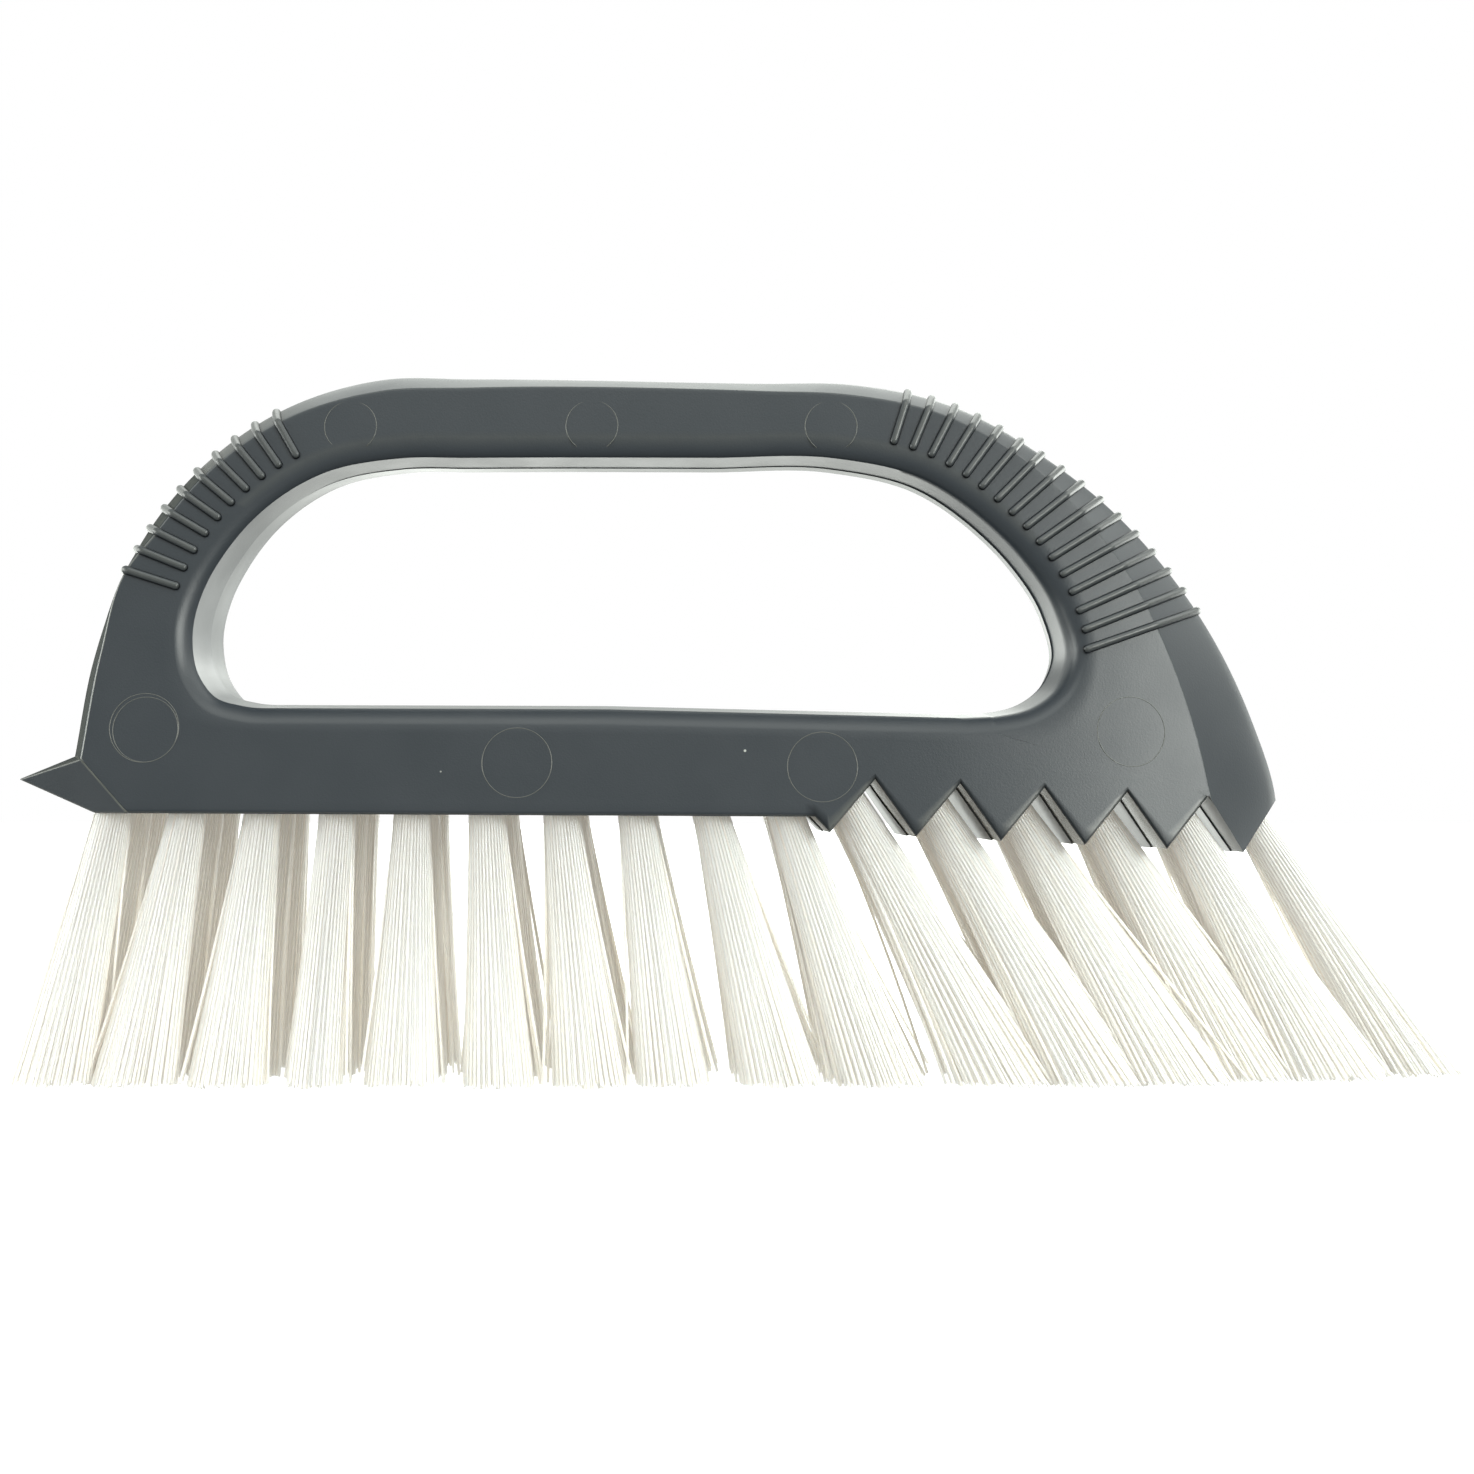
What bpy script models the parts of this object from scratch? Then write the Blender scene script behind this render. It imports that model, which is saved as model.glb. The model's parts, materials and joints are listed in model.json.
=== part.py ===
"""Hand brush with a closed-loop handle: a one-piece moulded body and its bristle tufts.

Run it with blender --background --python part.py, or from the text editor.
Metres, +Z up. X runs along the brush, Y across it, and the bristle tips stand on Z = 0.
The brush is the same on both sides of Y = 0, the plane where the two mould halves met.
"""

import math

import bmesh
import bpy
import numpy as np
from mathutils import Matrix, Vector

# Underside and thickness
BRISTLE_REACH = 0.0384  # from the tips to the underside, at X = 0
UNDERSIDE_SLOPE = -0.005
BASE_WIDTH = 0.0324  # across the faces at the underside
FACE_LEAN = 0.1667  # each face comes in by this share of its height
BOW_START_X = 0.012  # from here to the nose the faces curve in, like a boat's bow
BOW_RATE = 4.37  # thickness lost, for each square metre of the distance past BOW_START_X

# Outlines, as (x, height over the underside) clockwise from the scraper
CREST = (  # at the mould line, from the scraper over the handle to the nose
    (-0.0967, 0.0088),
    (-0.0943, 0.0229),
    (-0.0905, 0.0359),
    (-0.0860, 0.0419),
    (-0.0795, 0.0501),
    (-0.0672, 0.0591),
    (-0.0528, 0.0636),
    (-0.0400, 0.0641),
    (-0.0050, 0.0637),
    (0.0152, 0.0632),
    (0.0307, 0.0601),
    (0.0447, 0.0523),
    (0.0526, 0.0462),
    (0.0619, 0.0364),
    (0.0685, 0.0269),
    (0.0749, 0.0131),
    (0.0779, 0.0036),
)
CREASE = (  # where the rim meets the face, station by station with CREST
    (-0.0931, 0.0080),
    (-0.0910, 0.0229),
    (-0.0880, 0.0348),
    (-0.0839, 0.0403),
    (-0.0777, 0.0482),
    (-0.0660, 0.0570),
    (-0.0524, 0.0612),
    (-0.0400, 0.0617),
    (-0.0050, 0.0613),
    (0.0145, 0.0607),
    (0.0288, 0.0578),
    (0.0422, 0.0500),
    (0.0491, 0.0431),
    (0.0564, 0.0330),
    (0.0606, 0.0240),
    (0.0647, 0.0114),
    (0.0663, 0.0038),
)
CREST_FOOT_X = 0.0786  # both outlines end at the teeth
CREASE_FOOT_X = 0.0681
HAND_HOLE = (  # the edge of the hand opening, station by station with CREST
    (-0.0776, 0.0196),
    (-0.0788, 0.0256),
    (-0.0770, 0.0331),
    (-0.0749, 0.0369),
    (-0.0701, 0.0429),
    (-0.0606, 0.0488),
    (-0.0500, 0.0512),
    (-0.0400, 0.0514),
    (-0.0050, 0.0514),
    (0.0130, 0.0513),
    (0.0254, 0.0484),
    (0.0350, 0.0418),
    (0.0394, 0.0373),
    (0.0444, 0.0294),
    (0.0458, 0.0226),
    (0.0439, 0.0185),
    (0.0405, 0.0159),
    (0.0350, 0.0145),
)
CORNER_X = -0.0862  # left end of the face's lower edge
HOLE_FLOOR = ((0.0305, 0.0143), (-0.0650, 0.0149))  # right and left end of its straight bottom
HOLE_CORNER = ((-0.0715, 0.0152), (-0.0753, 0.0165))  # round from there to HAND_HOLE's start
STATION_STEPS = 4  # facets between two stations of the outlines
TEETH_COLUMNS = 5
BASE_COLUMNS = 6

# Rim, lip and the wall of the hand opening
RIM_ROWS = (0.36, 0.68)  # shares of the half thickness at which the rim is faceted
LIP_SIDE = 0.0020
LIP_TOP = 0.0030
LIP_BOTTOM = 0.0011
LIP_DEPTH = 0.0022
WALL_LEAN = 0.07

# Scraper at the left end
SCRAPER_EDGE_X = -0.1028
SCRAPER_EDGE_HEIGHT = 0.0051
SCRAPER_EDGE_WIDTH = 0.0212
SCRAPER_ROOT_X = -0.0914  # where the underside turns up to the edge
SCRAPER_ROOT_WIDTH = 0.0284
SCRAPER_TOP_INSET = 0.0017  # its top goes this far into the handle's end
SCRAPER_WELD = 0.0001  # and its hidden corners are this far inside the faces

# Saw teeth at the right end
TOOTH_COUNT = 6
TOOTH_PITCH = 0.0120
FIRST_TOOTH_X = 0.0118
FIRST_TOOTH_DROP = 0.00225  # from the underside to the first tip
TOOTH_ROW_SLOPE = -0.050
TOOTH_DEPTH = 0.00745
NOTCH_OFFSET = 0.0064  # from a tip to the bottom of the notch on its right
FIRST_FLANK = 0.0021  # the first tip lies this far right of the underside's end
TOOTH_STOCK = 0.0008  # depth below the tips that the notches cut away

# Grip ribs round the rim
RIB_PITCH = 0.00362  # along the crest
RIB_END_PITCH = 0.00287  # along the line of their inner ends
RIB_DIAMETER = 0.00105
RIB_END_GAP = 0.0009  # from a rib's inner end to the lip
LEFT_RIBS = 10
LEFT_RIB_START = ((-0.0909, 0.0360), (-0.0802, 0.0325))  # crest and inner end of the lowest
RIGHT_RIBS = 16
RIGHT_RIB_START = ((0.0240, 0.0612), (0.0215, 0.0537))  # and of the one nearest the grip

# Bristle tufts
HOLE_DIAMETER = 0.0052
TUFT_CLEARANCE = 0.0003
HOLE_DEPTH = 0.0073
ROW_TO_FACE = 0.0049  # from an outer row to the face beside it
TUFTS_UNDERNEATH = 10  # in a row, before the teeth
FIRST_TUFT_INSET = 0.0019  # from the scraper's root
LAST_TUFT_INSET = 0.0039  # from the underside's right end
ROW_CLOSING = 0.0020  # the outer rows come in by this a tooth, from the second tooth on
CLOSEST_ROW = 0.0053
LAST_MIDDLE_TUFT = 13
FIRST_TIP_SHIFT = -0.0086  # tips lean left of their hole here, and further right each tuft
TIP_SHIFT_STEP = 0.0021
TOOTH_TIP_SHIFT = 0.0200
NOSE_TIP_SHIFT = 0.0245
TIP_SPREAD = 0.0050  # from a tuft's middle to its outer strands, at the tips
INNER_SPREAD = 0.55  # every second strand ends at this share of it
CLOSE_TIP_Y = 0.0060
STRANDS = 10
STRAND_GAP = 0.0002
TIP_TAPER = 0.85  # a strand's width at the tip, as a share of that at its root

BODY_COLOUR = "#4b5154"
BRISTLE_COLOUR = "#f4f2ea"


def linear(hex_colour):
    """The sRGB colour #rrggbb as linear red, green, blue and alpha."""
    parts = [int(hex_colour[i : i + 2], 16) / 255 for i in (1, 3, 5)]
    return [p / 12.92 if p <= 0.04045 else ((p + 0.055) / 1.055) ** 2.4 for p in parts] + [1.0]


def material(name, hex_colour, roughness, metallic=0.0):
    made = bpy.data.materials.new(name)
    made.use_nodes = True
    made.diffuse_color = linear(hex_colour)
    shader = made.node_tree.nodes["Principled BSDF"]
    shader.inputs["Base Color"].default_value = linear(hex_colour)
    shader.inputs["Roughness"].default_value = roughness
    shader.inputs["Metallic"].default_value = metallic
    return made


def new_object(name, bm, collection, finish=None, smooth_below=None):
    """An object from a bmesh, which is freed."""
    bmesh.ops.recalc_face_normals(bm, faces=bm.faces)
    mesh = bpy.data.meshes.new(name)
    bm.to_mesh(mesh)
    bm.free()
    if finish:
        mesh.materials.append(finish)
    if smooth_below:
        mesh.shade_smooth()
        mesh.set_sharp_from_angle(angle=math.radians(smooth_below))
    made = bpy.data.objects.new(name, mesh)
    collection.objects.link(made)
    return made


def helper(made):
    made.hide_render = True
    made.display_type = "WIRE"
    return made


def boolean(target, name, operation, collection):
    modifier = target.modifiers.new(name, "BOOLEAN")
    modifier.operation = operation
    modifier.operand_type = "COLLECTION"
    modifier.collection = collection
    modifier.solver = "EXACT"


def smooth_curve(points, steps):
    """A curve through the points, with steps pieces between each two.

    Each piece is the cubic that leaves a point along the line between its two neighbours.
    """
    points = np.array(points)
    slopes = np.gradient(points, axis=0)
    t = (np.arange(steps) / steps)[:, None]
    pieces = [
        (2 * t**3 - 3 * t**2 + 1) * points[i]
        + (t**3 - 2 * t**2 + t) * slopes[i]
        + (3 * t**2 - 2 * t**3) * points[i + 1]
        + (t**3 - t**2) * slopes[i + 1]
        for i in range(len(points) - 1)
    ]
    return np.vstack(pieces + [points[-1:]])


def underside(x):
    """Height of the flat underside at x."""
    return BRISTLE_REACH + UNDERSIDE_SLOPE * x


def half_thickness(points):
    """Distance from the mould line's plane to the face at each point (x, z)."""
    lean = 2 * FACE_LEAN * (points[:, 1] - BRISTLE_REACH)
    bow = BOW_RATE * np.clip(points[:, 0] - BOW_START_X, 0, None) ** 2
    return (BASE_WIDTH - lean - bow) / 2


def tooth_tip(i):
    along = i * TOOTH_PITCH
    drop = FIRST_TOOTH_DROP - TOOTH_ROW_SLOPE * along
    return Vector((FIRST_TOOTH_X + along, BRISTLE_REACH - drop))


def notch(i):
    """The bottom of the notch to the right of tooth i."""
    return tooth_tip(i) + Vector((NOTCH_OFFSET, TOOTH_DEPTH))


def stock_line(x):
    """Height of the straight stock that the teeth are cut from."""
    return tooth_tip(0).y - TOOTH_STOCK + TOOTH_ROW_SLOPE * (x - FIRST_TOOTH_X)


def raised(outline):
    """An outline's points with their height over the tips."""
    return [(x, BRISTLE_REACH + height) for x, height in outline]


def columns():
    """(crest, crease, hole edge): the three outlines with one point a column, all round."""
    crest = raised(CREST) + [(CREST_FOOT_X, stock_line(CREST_FOOT_X))]
    crease = raised(CREASE) + [(CREASE_FOOT_X, stock_line(CREASE_FOOT_X))]
    handle = [smooth_curve(outline, STATION_STEPS) for outline in (crest, crease, raised(HAND_HOLE))]
    end_x = FIRST_TOOTH_X - FIRST_FLANK
    foot_x = FIRST_TOOTH_X + TOOTH_STOCK
    under_teeth = np.linspace(CREASE_FOOT_X, foot_x, TEETH_COLUMNS + 1)[1:]
    under_base = np.linspace(end_x, CORNER_X, BASE_COLUMNS)
    bottom = [(x, stock_line(x)) for x in under_teeth] + [(x, underside(x)) for x in under_base]
    (right_x, right_z), (left_x, left_z) = raised(HOLE_FLOOR)
    last_straight = -1 - len(HOLE_CORNER)
    turns = (under_base[last_straight], end_x, under_teeth[0])
    floor_x = np.interp([x for x, _ in bottom[:last_straight + 1]], turns, (left_x, end_x, right_x))
    floor_z = np.interp(floor_x, (left_x, right_x), (left_z, right_z))
    floor = np.vstack([np.column_stack([floor_x, floor_z]), raised(HOLE_CORNER)])
    return [np.vstack([upper, lower]) for upper, lower in zip(handle, (bottom, bottom, floor))]


def outward(outline):
    """Unit normals, in the plane, of a closed outline that runs clockwise."""
    along = np.roll(outline, -1, axis=0) - np.roll(outline, 1, axis=0)
    normal = np.stack([-along[:, 1], along[:, 0]], axis=1)
    return normal / np.linalg.norm(normal, axis=1)[:, None]


def lip_edge(hole, beyond=0.0):
    """The hole edge moved out by the lip's width there, which is the lip's border on the face."""
    normal = outward(hole)
    up = normal[:, 1:]
    width = LIP_SIDE + np.where(up > 0, (LIP_TOP - LIP_SIDE) * up, (LIP_SIDE - LIP_BOTTOM) * up)
    return hole + normal * (width + beyond)


def rows():
    """The near half of the body as rings of points (x, y, z), from the crest to the hole's wall."""
    crest, crease, hole = columns()
    lip = lip_edge(hole)
    middle = (crease + lip) / 2
    face = half_thickness(crease)
    rings = [(crest, 0 * face)]
    for share in RIM_ROWS:
        rings.append((crease + (crest - crease) * (1 - share**2), share * face))
    rings += [(crease, face), (middle, half_thickness(middle)), (lip, half_thickness(lip))]
    turn = math.radians(45)
    at_hole = half_thickness(hole)
    rounded = lip + (hole - lip) * math.sin(turn)
    rings.append((rounded, half_thickness(rounded) - LIP_DEPTH * (1 - math.cos(turn))))
    rings.append((hole, at_hole - LIP_DEPTH))
    inner = hole - outward(hole) * (WALL_LEAN * (at_hole - LIP_DEPTH))[:, None]
    rings.append((inner, 0 * at_hole))
    return [np.column_stack([ring[:, 0], -depth, ring[:, 1]]) for ring, depth in rings]


def body_shell(collection, finish):
    """The near half as a loft through the rings, mirrored into the whole moulding."""
    bm = bmesh.new()
    rings = [[bm.verts.new(point) for point in ring] for ring in rows()]
    for outer, inner in zip(rings, rings[1:]):
        for j in range(len(outer)):
            k = (j + 1) % len(outer)
            bm.faces.new((outer[j], outer[k], inner[k], inner[j]))
    body = new_object("body", bm, collection, finish, smooth_below=35)
    mirror = body.modifiers.new("mould_halves", "MIRROR")
    mirror.use_axis = (False, True, False)
    mirror.merge_threshold = 0.00001
    return body


def scraper(collection):
    """The wedge that ends in a straight edge, closed in on both sides by a slanted facet."""
    (crease_x, crease_height), (crest_x, crest_height) = CREASE[0], CREST[0]
    crease_z, crest_z = BRISTLE_REACH + crease_height, BRISTLE_REACH + crest_height
    corner_z = underside(CORNER_X)
    at_crease, at_corner = half_thickness(np.array([(crease_x, crease_z), (CORNER_X, corner_z)]))
    half = (
        (SCRAPER_EDGE_X, SCRAPER_EDGE_WIDTH / 2, BRISTLE_REACH + SCRAPER_EDGE_HEIGHT),
        (SCRAPER_ROOT_X, SCRAPER_ROOT_WIDTH / 2, underside(SCRAPER_ROOT_X)),
        (CORNER_X + SCRAPER_WELD, at_corner - SCRAPER_WELD, corner_z + SCRAPER_WELD / 2),
        (crease_x + 4 * SCRAPER_WELD, at_crease - 3 * SCRAPER_WELD, crease_z + 2 * SCRAPER_WELD),
        (crest_x + SCRAPER_TOP_INSET, at_crease / 2, crest_z + 4 * SCRAPER_WELD),
        (CORNER_X, at_crease / 2, crest_z),
    )
    bm = bmesh.new()
    for side in (-1, 1):
        for x, y, z in half:
            bm.verts.new((x, side * y, z))
    hull = bmesh.ops.convex_hull(bm, input=bm.verts)
    inner = {v for v in hull["geom_interior"] if isinstance(v, bmesh.types.BMVert)}
    bmesh.ops.delete(bm, geom=list(inner), context="VERTS")
    return helper(new_object("scraper", bm, collection))


def notch_cutter(i, collection):
    """A prism across the brush, with the notch's two flanks, run on past the tips, as its top."""
    apex, left, right = notch(i), tooth_tip(i), tooth_tip(i + 1)
    past_tips = 1.6
    points = [apex, apex + (right - apex) * past_tips, apex + (left - apex) * past_tips]
    bm = bmesh.new()
    near = [bm.verts.new((p.x, -BASE_WIDTH, p.y)) for p in points]
    cap = bm.faces.new(near)
    moved = bmesh.ops.extrude_face_region(bm, geom=[cap])["geom"]
    across = [v for v in moved if isinstance(v, bmesh.types.BMVert)]
    bmesh.ops.translate(bm, verts=across, vec=(0, 2 * BASE_WIDTH, 0))
    return helper(new_object(f"notch_{i + 1}", bm, collection))


def at_column(ring, column):
    """The point of a ring at a column number that may lie between two columns."""
    i = int(column)
    return ring[i] + (ring[i + 1] - ring[i]) * (column - i)


def spaced(outline, start, pitch, count):
    """Points pitch apart along an outline, clockwise from its point nearest to start."""
    steps = np.diff(outline, axis=0)
    share = ((start - outline[:-1]) * steps).sum(axis=1) / (steps**2).sum(axis=1)
    nearby = outline[:-1] + np.clip(share, 0, 1)[:, None] * steps
    i = np.argmin(np.linalg.norm(nearby - start, axis=1))
    length = np.concatenate([[0], np.cumsum(np.linalg.norm(steps, axis=1))])
    places = length[i] + np.linalg.norm(nearby[i] - outline[i]) + pitch * np.arange(count)
    return [at_column(outline, c) for c in np.interp(places, length, range(len(length)))]


def crossing(ring, start, end):
    """The point, nearest to start, where a ring passes over or under the line from start to end."""
    line = end - start
    side = (ring[:, ::2] - start) @ np.array([-line[1], line[0]])
    i = np.nonzero(side[:-1] * side[1:] <= 0)[0]
    points = [at_column(ring, c) for c in i + side[i] / (side[i] - side[i + 1])]
    return min(points, key=lambda point: np.linalg.norm(point[::2] - start))


def rib_paths(rings, start, count):
    """The ribs' middle lines, each in a plane across the brush, from face to face over the crest."""
    crest = rings[0][:, ::2]
    inner_line = lip_edge(columns()[2], RIB_END_GAP)
    outer_start, inner_start = raised(start)
    outer_ends = spaced(crest, outer_start, RIB_PITCH, count)
    inner_ends = spaced(inner_line, inner_start, RIB_END_PITCH, count)
    paths = []
    for outer, inner in zip(outer_ends, inner_ends):
        face = half_thickness(inner[None])[0]
        near = [(inner[0], -face, inner[1])]
        near += [crossing(ring, outer, inner) for ring in reversed(rings[1 : 2 + len(RIM_ROWS)])]
        far = [(x, -y, z) for x, y, z in reversed(near)]
        paths.append(near + [(outer[0], 0, outer[1])] + far)
    return paths


def rib(name, path, collection):
    """A round bead, half sunk in the surface."""
    curve = bpy.data.curves.new(name, "CURVE")
    curve.dimensions = "3D"
    curve.bevel_depth = RIB_DIAMETER / 2
    curve.bevel_resolution = 1
    curve.use_fill_caps = True
    spline = curve.splines.new("POLY")
    spline.points.add(len(path) - 1)
    for point, place in zip(spline.points, path):
        point.co = (*place, 1)
    bead = bpy.data.objects.new(name, curve)
    collection.objects.link(bead)
    graph = bpy.context.evaluated_depsgraph_get()
    mesh = bpy.data.meshes.new_from_object(bead.evaluated_get(graph))
    bm = bmesh.new()
    bm.from_mesh(mesh)
    bmesh.ops.remove_doubles(bm, verts=bm.verts, dist=0.00001)
    bpy.data.objects.remove(bead)
    return helper(new_object(name, bm, collection))


def tuft_places():
    """(name, root, tip) of every tuft: the middle of its hole's mouth, and of its tips."""
    first_x = SCRAPER_ROOT_X + FIRST_TUFT_INSET
    last_x = FIRST_TOOTH_X - FIRST_FLANK - LAST_TUFT_INSET
    roots = [
        (x, underside(x), FIRST_TIP_SHIFT + TIP_SHIFT_STEP * i)
        for i, x in enumerate(np.linspace(first_x, last_x, TUFTS_UNDERNEATH))
    ]
    for i in range(TOOTH_COUNT):
        flank = (tooth_tip(i) + notch(i)) / 2
        shift = TOOTH_TIP_SHIFT if i < TOOTH_COUNT - 1 else NOSE_TIP_SHIFT
        roots.append((flank.x, flank.y, shift))
    outer = BASE_WIDTH / 2 - ROW_TO_FACE
    places = []
    for number, (x, z, shift) in enumerate(roots, 1):
        if number == len(roots):
            places.append(("tuft_nose", Vector((x, 0, z)), Vector((x + shift, 0, 0))))
            continue
        past = max(0, number - TUFTS_UNDERNEATH - 1)
        row = max(CLOSEST_ROW, outer - ROW_CLOSING * past)
        if number <= LAST_MIDDLE_TUFT:
            name = f"tuft_middle_{number:02d}"
            places.append((name, Vector((x, 0, z)), Vector((x + shift, 0, 0))))
        tip_row = outer if number <= LAST_MIDDLE_TUFT else CLOSE_TIP_Y
        for side, row_name in ((-1, "front"), (1, "back")):
            root = Vector((x, side * row, z))
            tip = Vector((x + shift, side * tip_row, 0))
            places.append((f"tuft_{row_name}_{number:02d}", root, tip))
    return places


def tuft_frame(root, tip):
    """The rotation that turns +Z to the way a tuft points, and keeps Y across the brush."""
    out = (tip - root).normalized()
    across = (Vector((0, 1, 0)) - out * out.y).normalized()
    return Matrix((across.cross(out), across, out)).transposed()


def bristle_hole(name, root, tip, collection):
    """The blind hole's cutter, which starts outside the surface."""
    outside = HOLE_DIAMETER / 2
    bm = bmesh.new()
    radius = HOLE_DIAMETER / 2
    length = HOLE_DEPTH + outside
    bmesh.ops.create_cone(
        bm, cap_ends=True, segments=STRANDS, radius1=radius, radius2=radius, depth=length
    )
    bmesh.ops.translate(bm, verts=bm.verts, vec=(0, 0, outside - length / 2))
    bmesh.ops.rotate(bm, verts=bm.verts, matrix=tuft_frame(root, tip))
    hole = helper(new_object(name, bm, collection))
    hole.location = root
    return hole


def tuft(name, root, tip, collection, finish):
    """A packed plug in its hole, and the strands that fan out of it, cut flat at Z = 0.

    The plug's outer end is a fan of triangles. Each is drawn in by STRAND_GAP, and its inner
    part is drawn out to the tips as one strand.
    """
    bm = bmesh.new()
    radius = HOLE_DIAMETER / 2 - TUFT_CLEARANCE
    length = HOLE_DEPTH - TUFT_CLEARANCE
    bmesh.ops.create_cone(
        bm, cap_ends=True, cap_tris=True, segments=STRANDS,
        radius1=radius, radius2=radius, depth=length,
    )
    bmesh.ops.translate(bm, verts=bm.verts, vec=(0, 0, -length / 2))
    bm.normal_update()
    roots = [f for f in bm.faces if f.normal.z > 0.9]
    bmesh.ops.inset_individual(bm, faces=roots, thickness=STRAND_GAP, use_even_offset=True)
    tips = bmesh.ops.extrude_discrete_faces(bm, faces=roots)["faces"]
    order = sorted(tips, key=lambda f: math.atan2(f.calc_center_median().y, f.calc_center_median().x))
    bmesh.ops.rotate(bm, verts=bm.verts, matrix=tuft_frame(root, tip))
    for number, face in enumerate(order):
        middle = face.calc_center_median()
        inner = number % 2
        reach = TIP_SPREAD * (INNER_SPREAD if inner else 1) / middle.length
        for vert in face.verts:
            place = tip - root + middle * reach + (vert.co - middle) * TIP_TAPER
            place.z = -root.z
            vert.co = place
    made = new_object(name, bm, collection, finish)
    made.location = root
    return made


def new_collection(name):
    made = bpy.data.collections.new(name)
    bpy.context.scene.collection.children.link(made)
    return made


def main():
    for old in list(bpy.data.objects):
        bpy.data.objects.remove(old)
    brush = new_collection("hand_brush")
    joined = new_collection("joined_to_body")
    cut = new_collection("cut_from_body")
    plastic = material("body", BODY_COLOUR, roughness=0.5)
    bristle = material("bristle", BRISTLE_COLOUR, roughness=0.35)

    body = body_shell(brush, plastic)
    scraper(joined)
    rings = rows()
    groups = (("left", LEFT_RIB_START, LEFT_RIBS), ("right", RIGHT_RIB_START, RIGHT_RIBS))
    for side, start, count in groups:
        for number, path in enumerate(rib_paths(rings, start, count), 1):
            rib(f"rib_{side}_{number:02d}", path, joined)
    for i in range(TOOTH_COUNT):
        notch_cutter(i, cut)
    for name, root, tip in tuft_places():
        bristle_hole(name.replace("tuft", "hole"), root, tip, cut)
        tuft(name, root, tip, brush, bristle)
    boolean(body, "scraper_and_ribs", "UNION", joined)
    boolean(body, "notches_and_holes", "DIFFERENCE", cut)


main()
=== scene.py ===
# %% [markdown]
# # A hand brush with a loop handle
# The brush is one dark grey moulding with 44 tufts of white nylon pressed into it. This script
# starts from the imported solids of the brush, and gives every one of them the surface that a
# camera sees: rounded edges, grip beads, a seam where the mould halves met, and real filaments.
# All lengths are in metres. X runs along the brush, Y away from the camera, and Z up.

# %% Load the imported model
import json
import math

import bmesh
import bpy
import numpy as np
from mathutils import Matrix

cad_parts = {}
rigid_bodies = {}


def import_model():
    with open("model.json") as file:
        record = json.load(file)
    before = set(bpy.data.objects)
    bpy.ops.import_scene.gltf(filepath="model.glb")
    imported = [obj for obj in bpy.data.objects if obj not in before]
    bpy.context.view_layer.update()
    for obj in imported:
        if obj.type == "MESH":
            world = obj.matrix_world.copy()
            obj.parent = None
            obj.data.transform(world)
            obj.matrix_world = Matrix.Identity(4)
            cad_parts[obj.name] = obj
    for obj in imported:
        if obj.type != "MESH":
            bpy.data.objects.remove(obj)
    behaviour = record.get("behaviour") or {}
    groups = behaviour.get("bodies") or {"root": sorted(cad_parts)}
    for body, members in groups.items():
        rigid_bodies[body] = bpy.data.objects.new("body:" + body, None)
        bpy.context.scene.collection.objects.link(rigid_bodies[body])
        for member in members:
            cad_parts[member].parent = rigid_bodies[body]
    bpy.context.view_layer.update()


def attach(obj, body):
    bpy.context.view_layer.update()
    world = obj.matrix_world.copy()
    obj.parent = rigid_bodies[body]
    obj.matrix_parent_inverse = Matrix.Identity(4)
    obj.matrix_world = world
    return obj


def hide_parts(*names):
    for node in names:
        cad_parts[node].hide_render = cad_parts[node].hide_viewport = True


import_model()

# %% [markdown]
# ## The camera
# The perspective was read from the brush itself. Its far edges are drawn smaller than its near
# ones, which ties its thickness to the camera's distance: for a brush 33 mm thick the camera
# stands 316 mm in front of its middle, level, and 41 mm above the floor. The picture is cut out
# off the middle of the view, which is what the shift is for.

# %% Camera
VIEW_POINT = (-0.00635, -0.316, 0.0411)
FRAME_WIDTH = 0.21665  # of the picture, in the plane of the brush's middle
SENSOR_WIDTH = 36
PICTURE_SHIFT = (0.0251, 0.0407)  # to the right and up, as shares of the picture's width

camera = bpy.data.objects.new("camera", bpy.data.cameras.new("camera"))
camera.location = VIEW_POINT
camera.rotation_euler = (math.radians(90), 0, 0)
camera.data.sensor_width = SENSOR_WIDTH
camera.data.lens = SENSOR_WIDTH * -VIEW_POINT[1] / FRAME_WIDTH
camera.data.shift_x, camera.data.shift_y = PICTURE_SHIFT
camera.data.clip_start = 0.01
bpy.context.scene.collection.objects.link(camera)
bpy.context.scene.camera = camera
print("lens", round(camera.data.lens, 2), "mm")

# %% [markdown]
# ## Helpers
# Colours are written as sRGB hex values, as a paint programme shows them. Blender's shaders
# work in linear light, so one function turns them. One more function adds a shader node, with
# its settings and what goes into it.

# %% Colour and node helpers
def linear(hex_colour):
    """Linear red, green, blue and alpha: below 0.04045 c / 12.92, else ((c + 0.055) / 1.055) ** 2.4."""
    parts = [int(hex_colour[i : i + 2], 16) / 255 for i in (1, 3, 5)]
    return (*[c / 12.92 if c <= 0.04045 else ((c + 0.055) / 1.055) ** 2.4 for c in parts], 1.0)


def add(tree, kind, inputs=None, **settings):
    """A node of that kind. inputs gives its sockets a value, or another node's output."""
    node = tree.nodes.new(kind)
    for name, value in settings.items():
        setattr(node, name, value)
    for name, value in (inputs or {}).items():
        if isinstance(value, bpy.types.NodeSocket):
            tree.links.new(value, node.inputs[name])
        else:
            node.inputs[name].default_value = value
    return node


def new_material(name):
    """An empty node material, with its tree and its surface shader."""
    made = bpy.data.materials.new(name)
    made.use_nodes = True
    return made, made.node_tree, made.node_tree.nodes["Principled BSDF"]


def mm(*values):
    """Millimetres as metres."""
    return np.array(values, float) / 1000 if len(values) > 1 else values[0] / 1000


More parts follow.
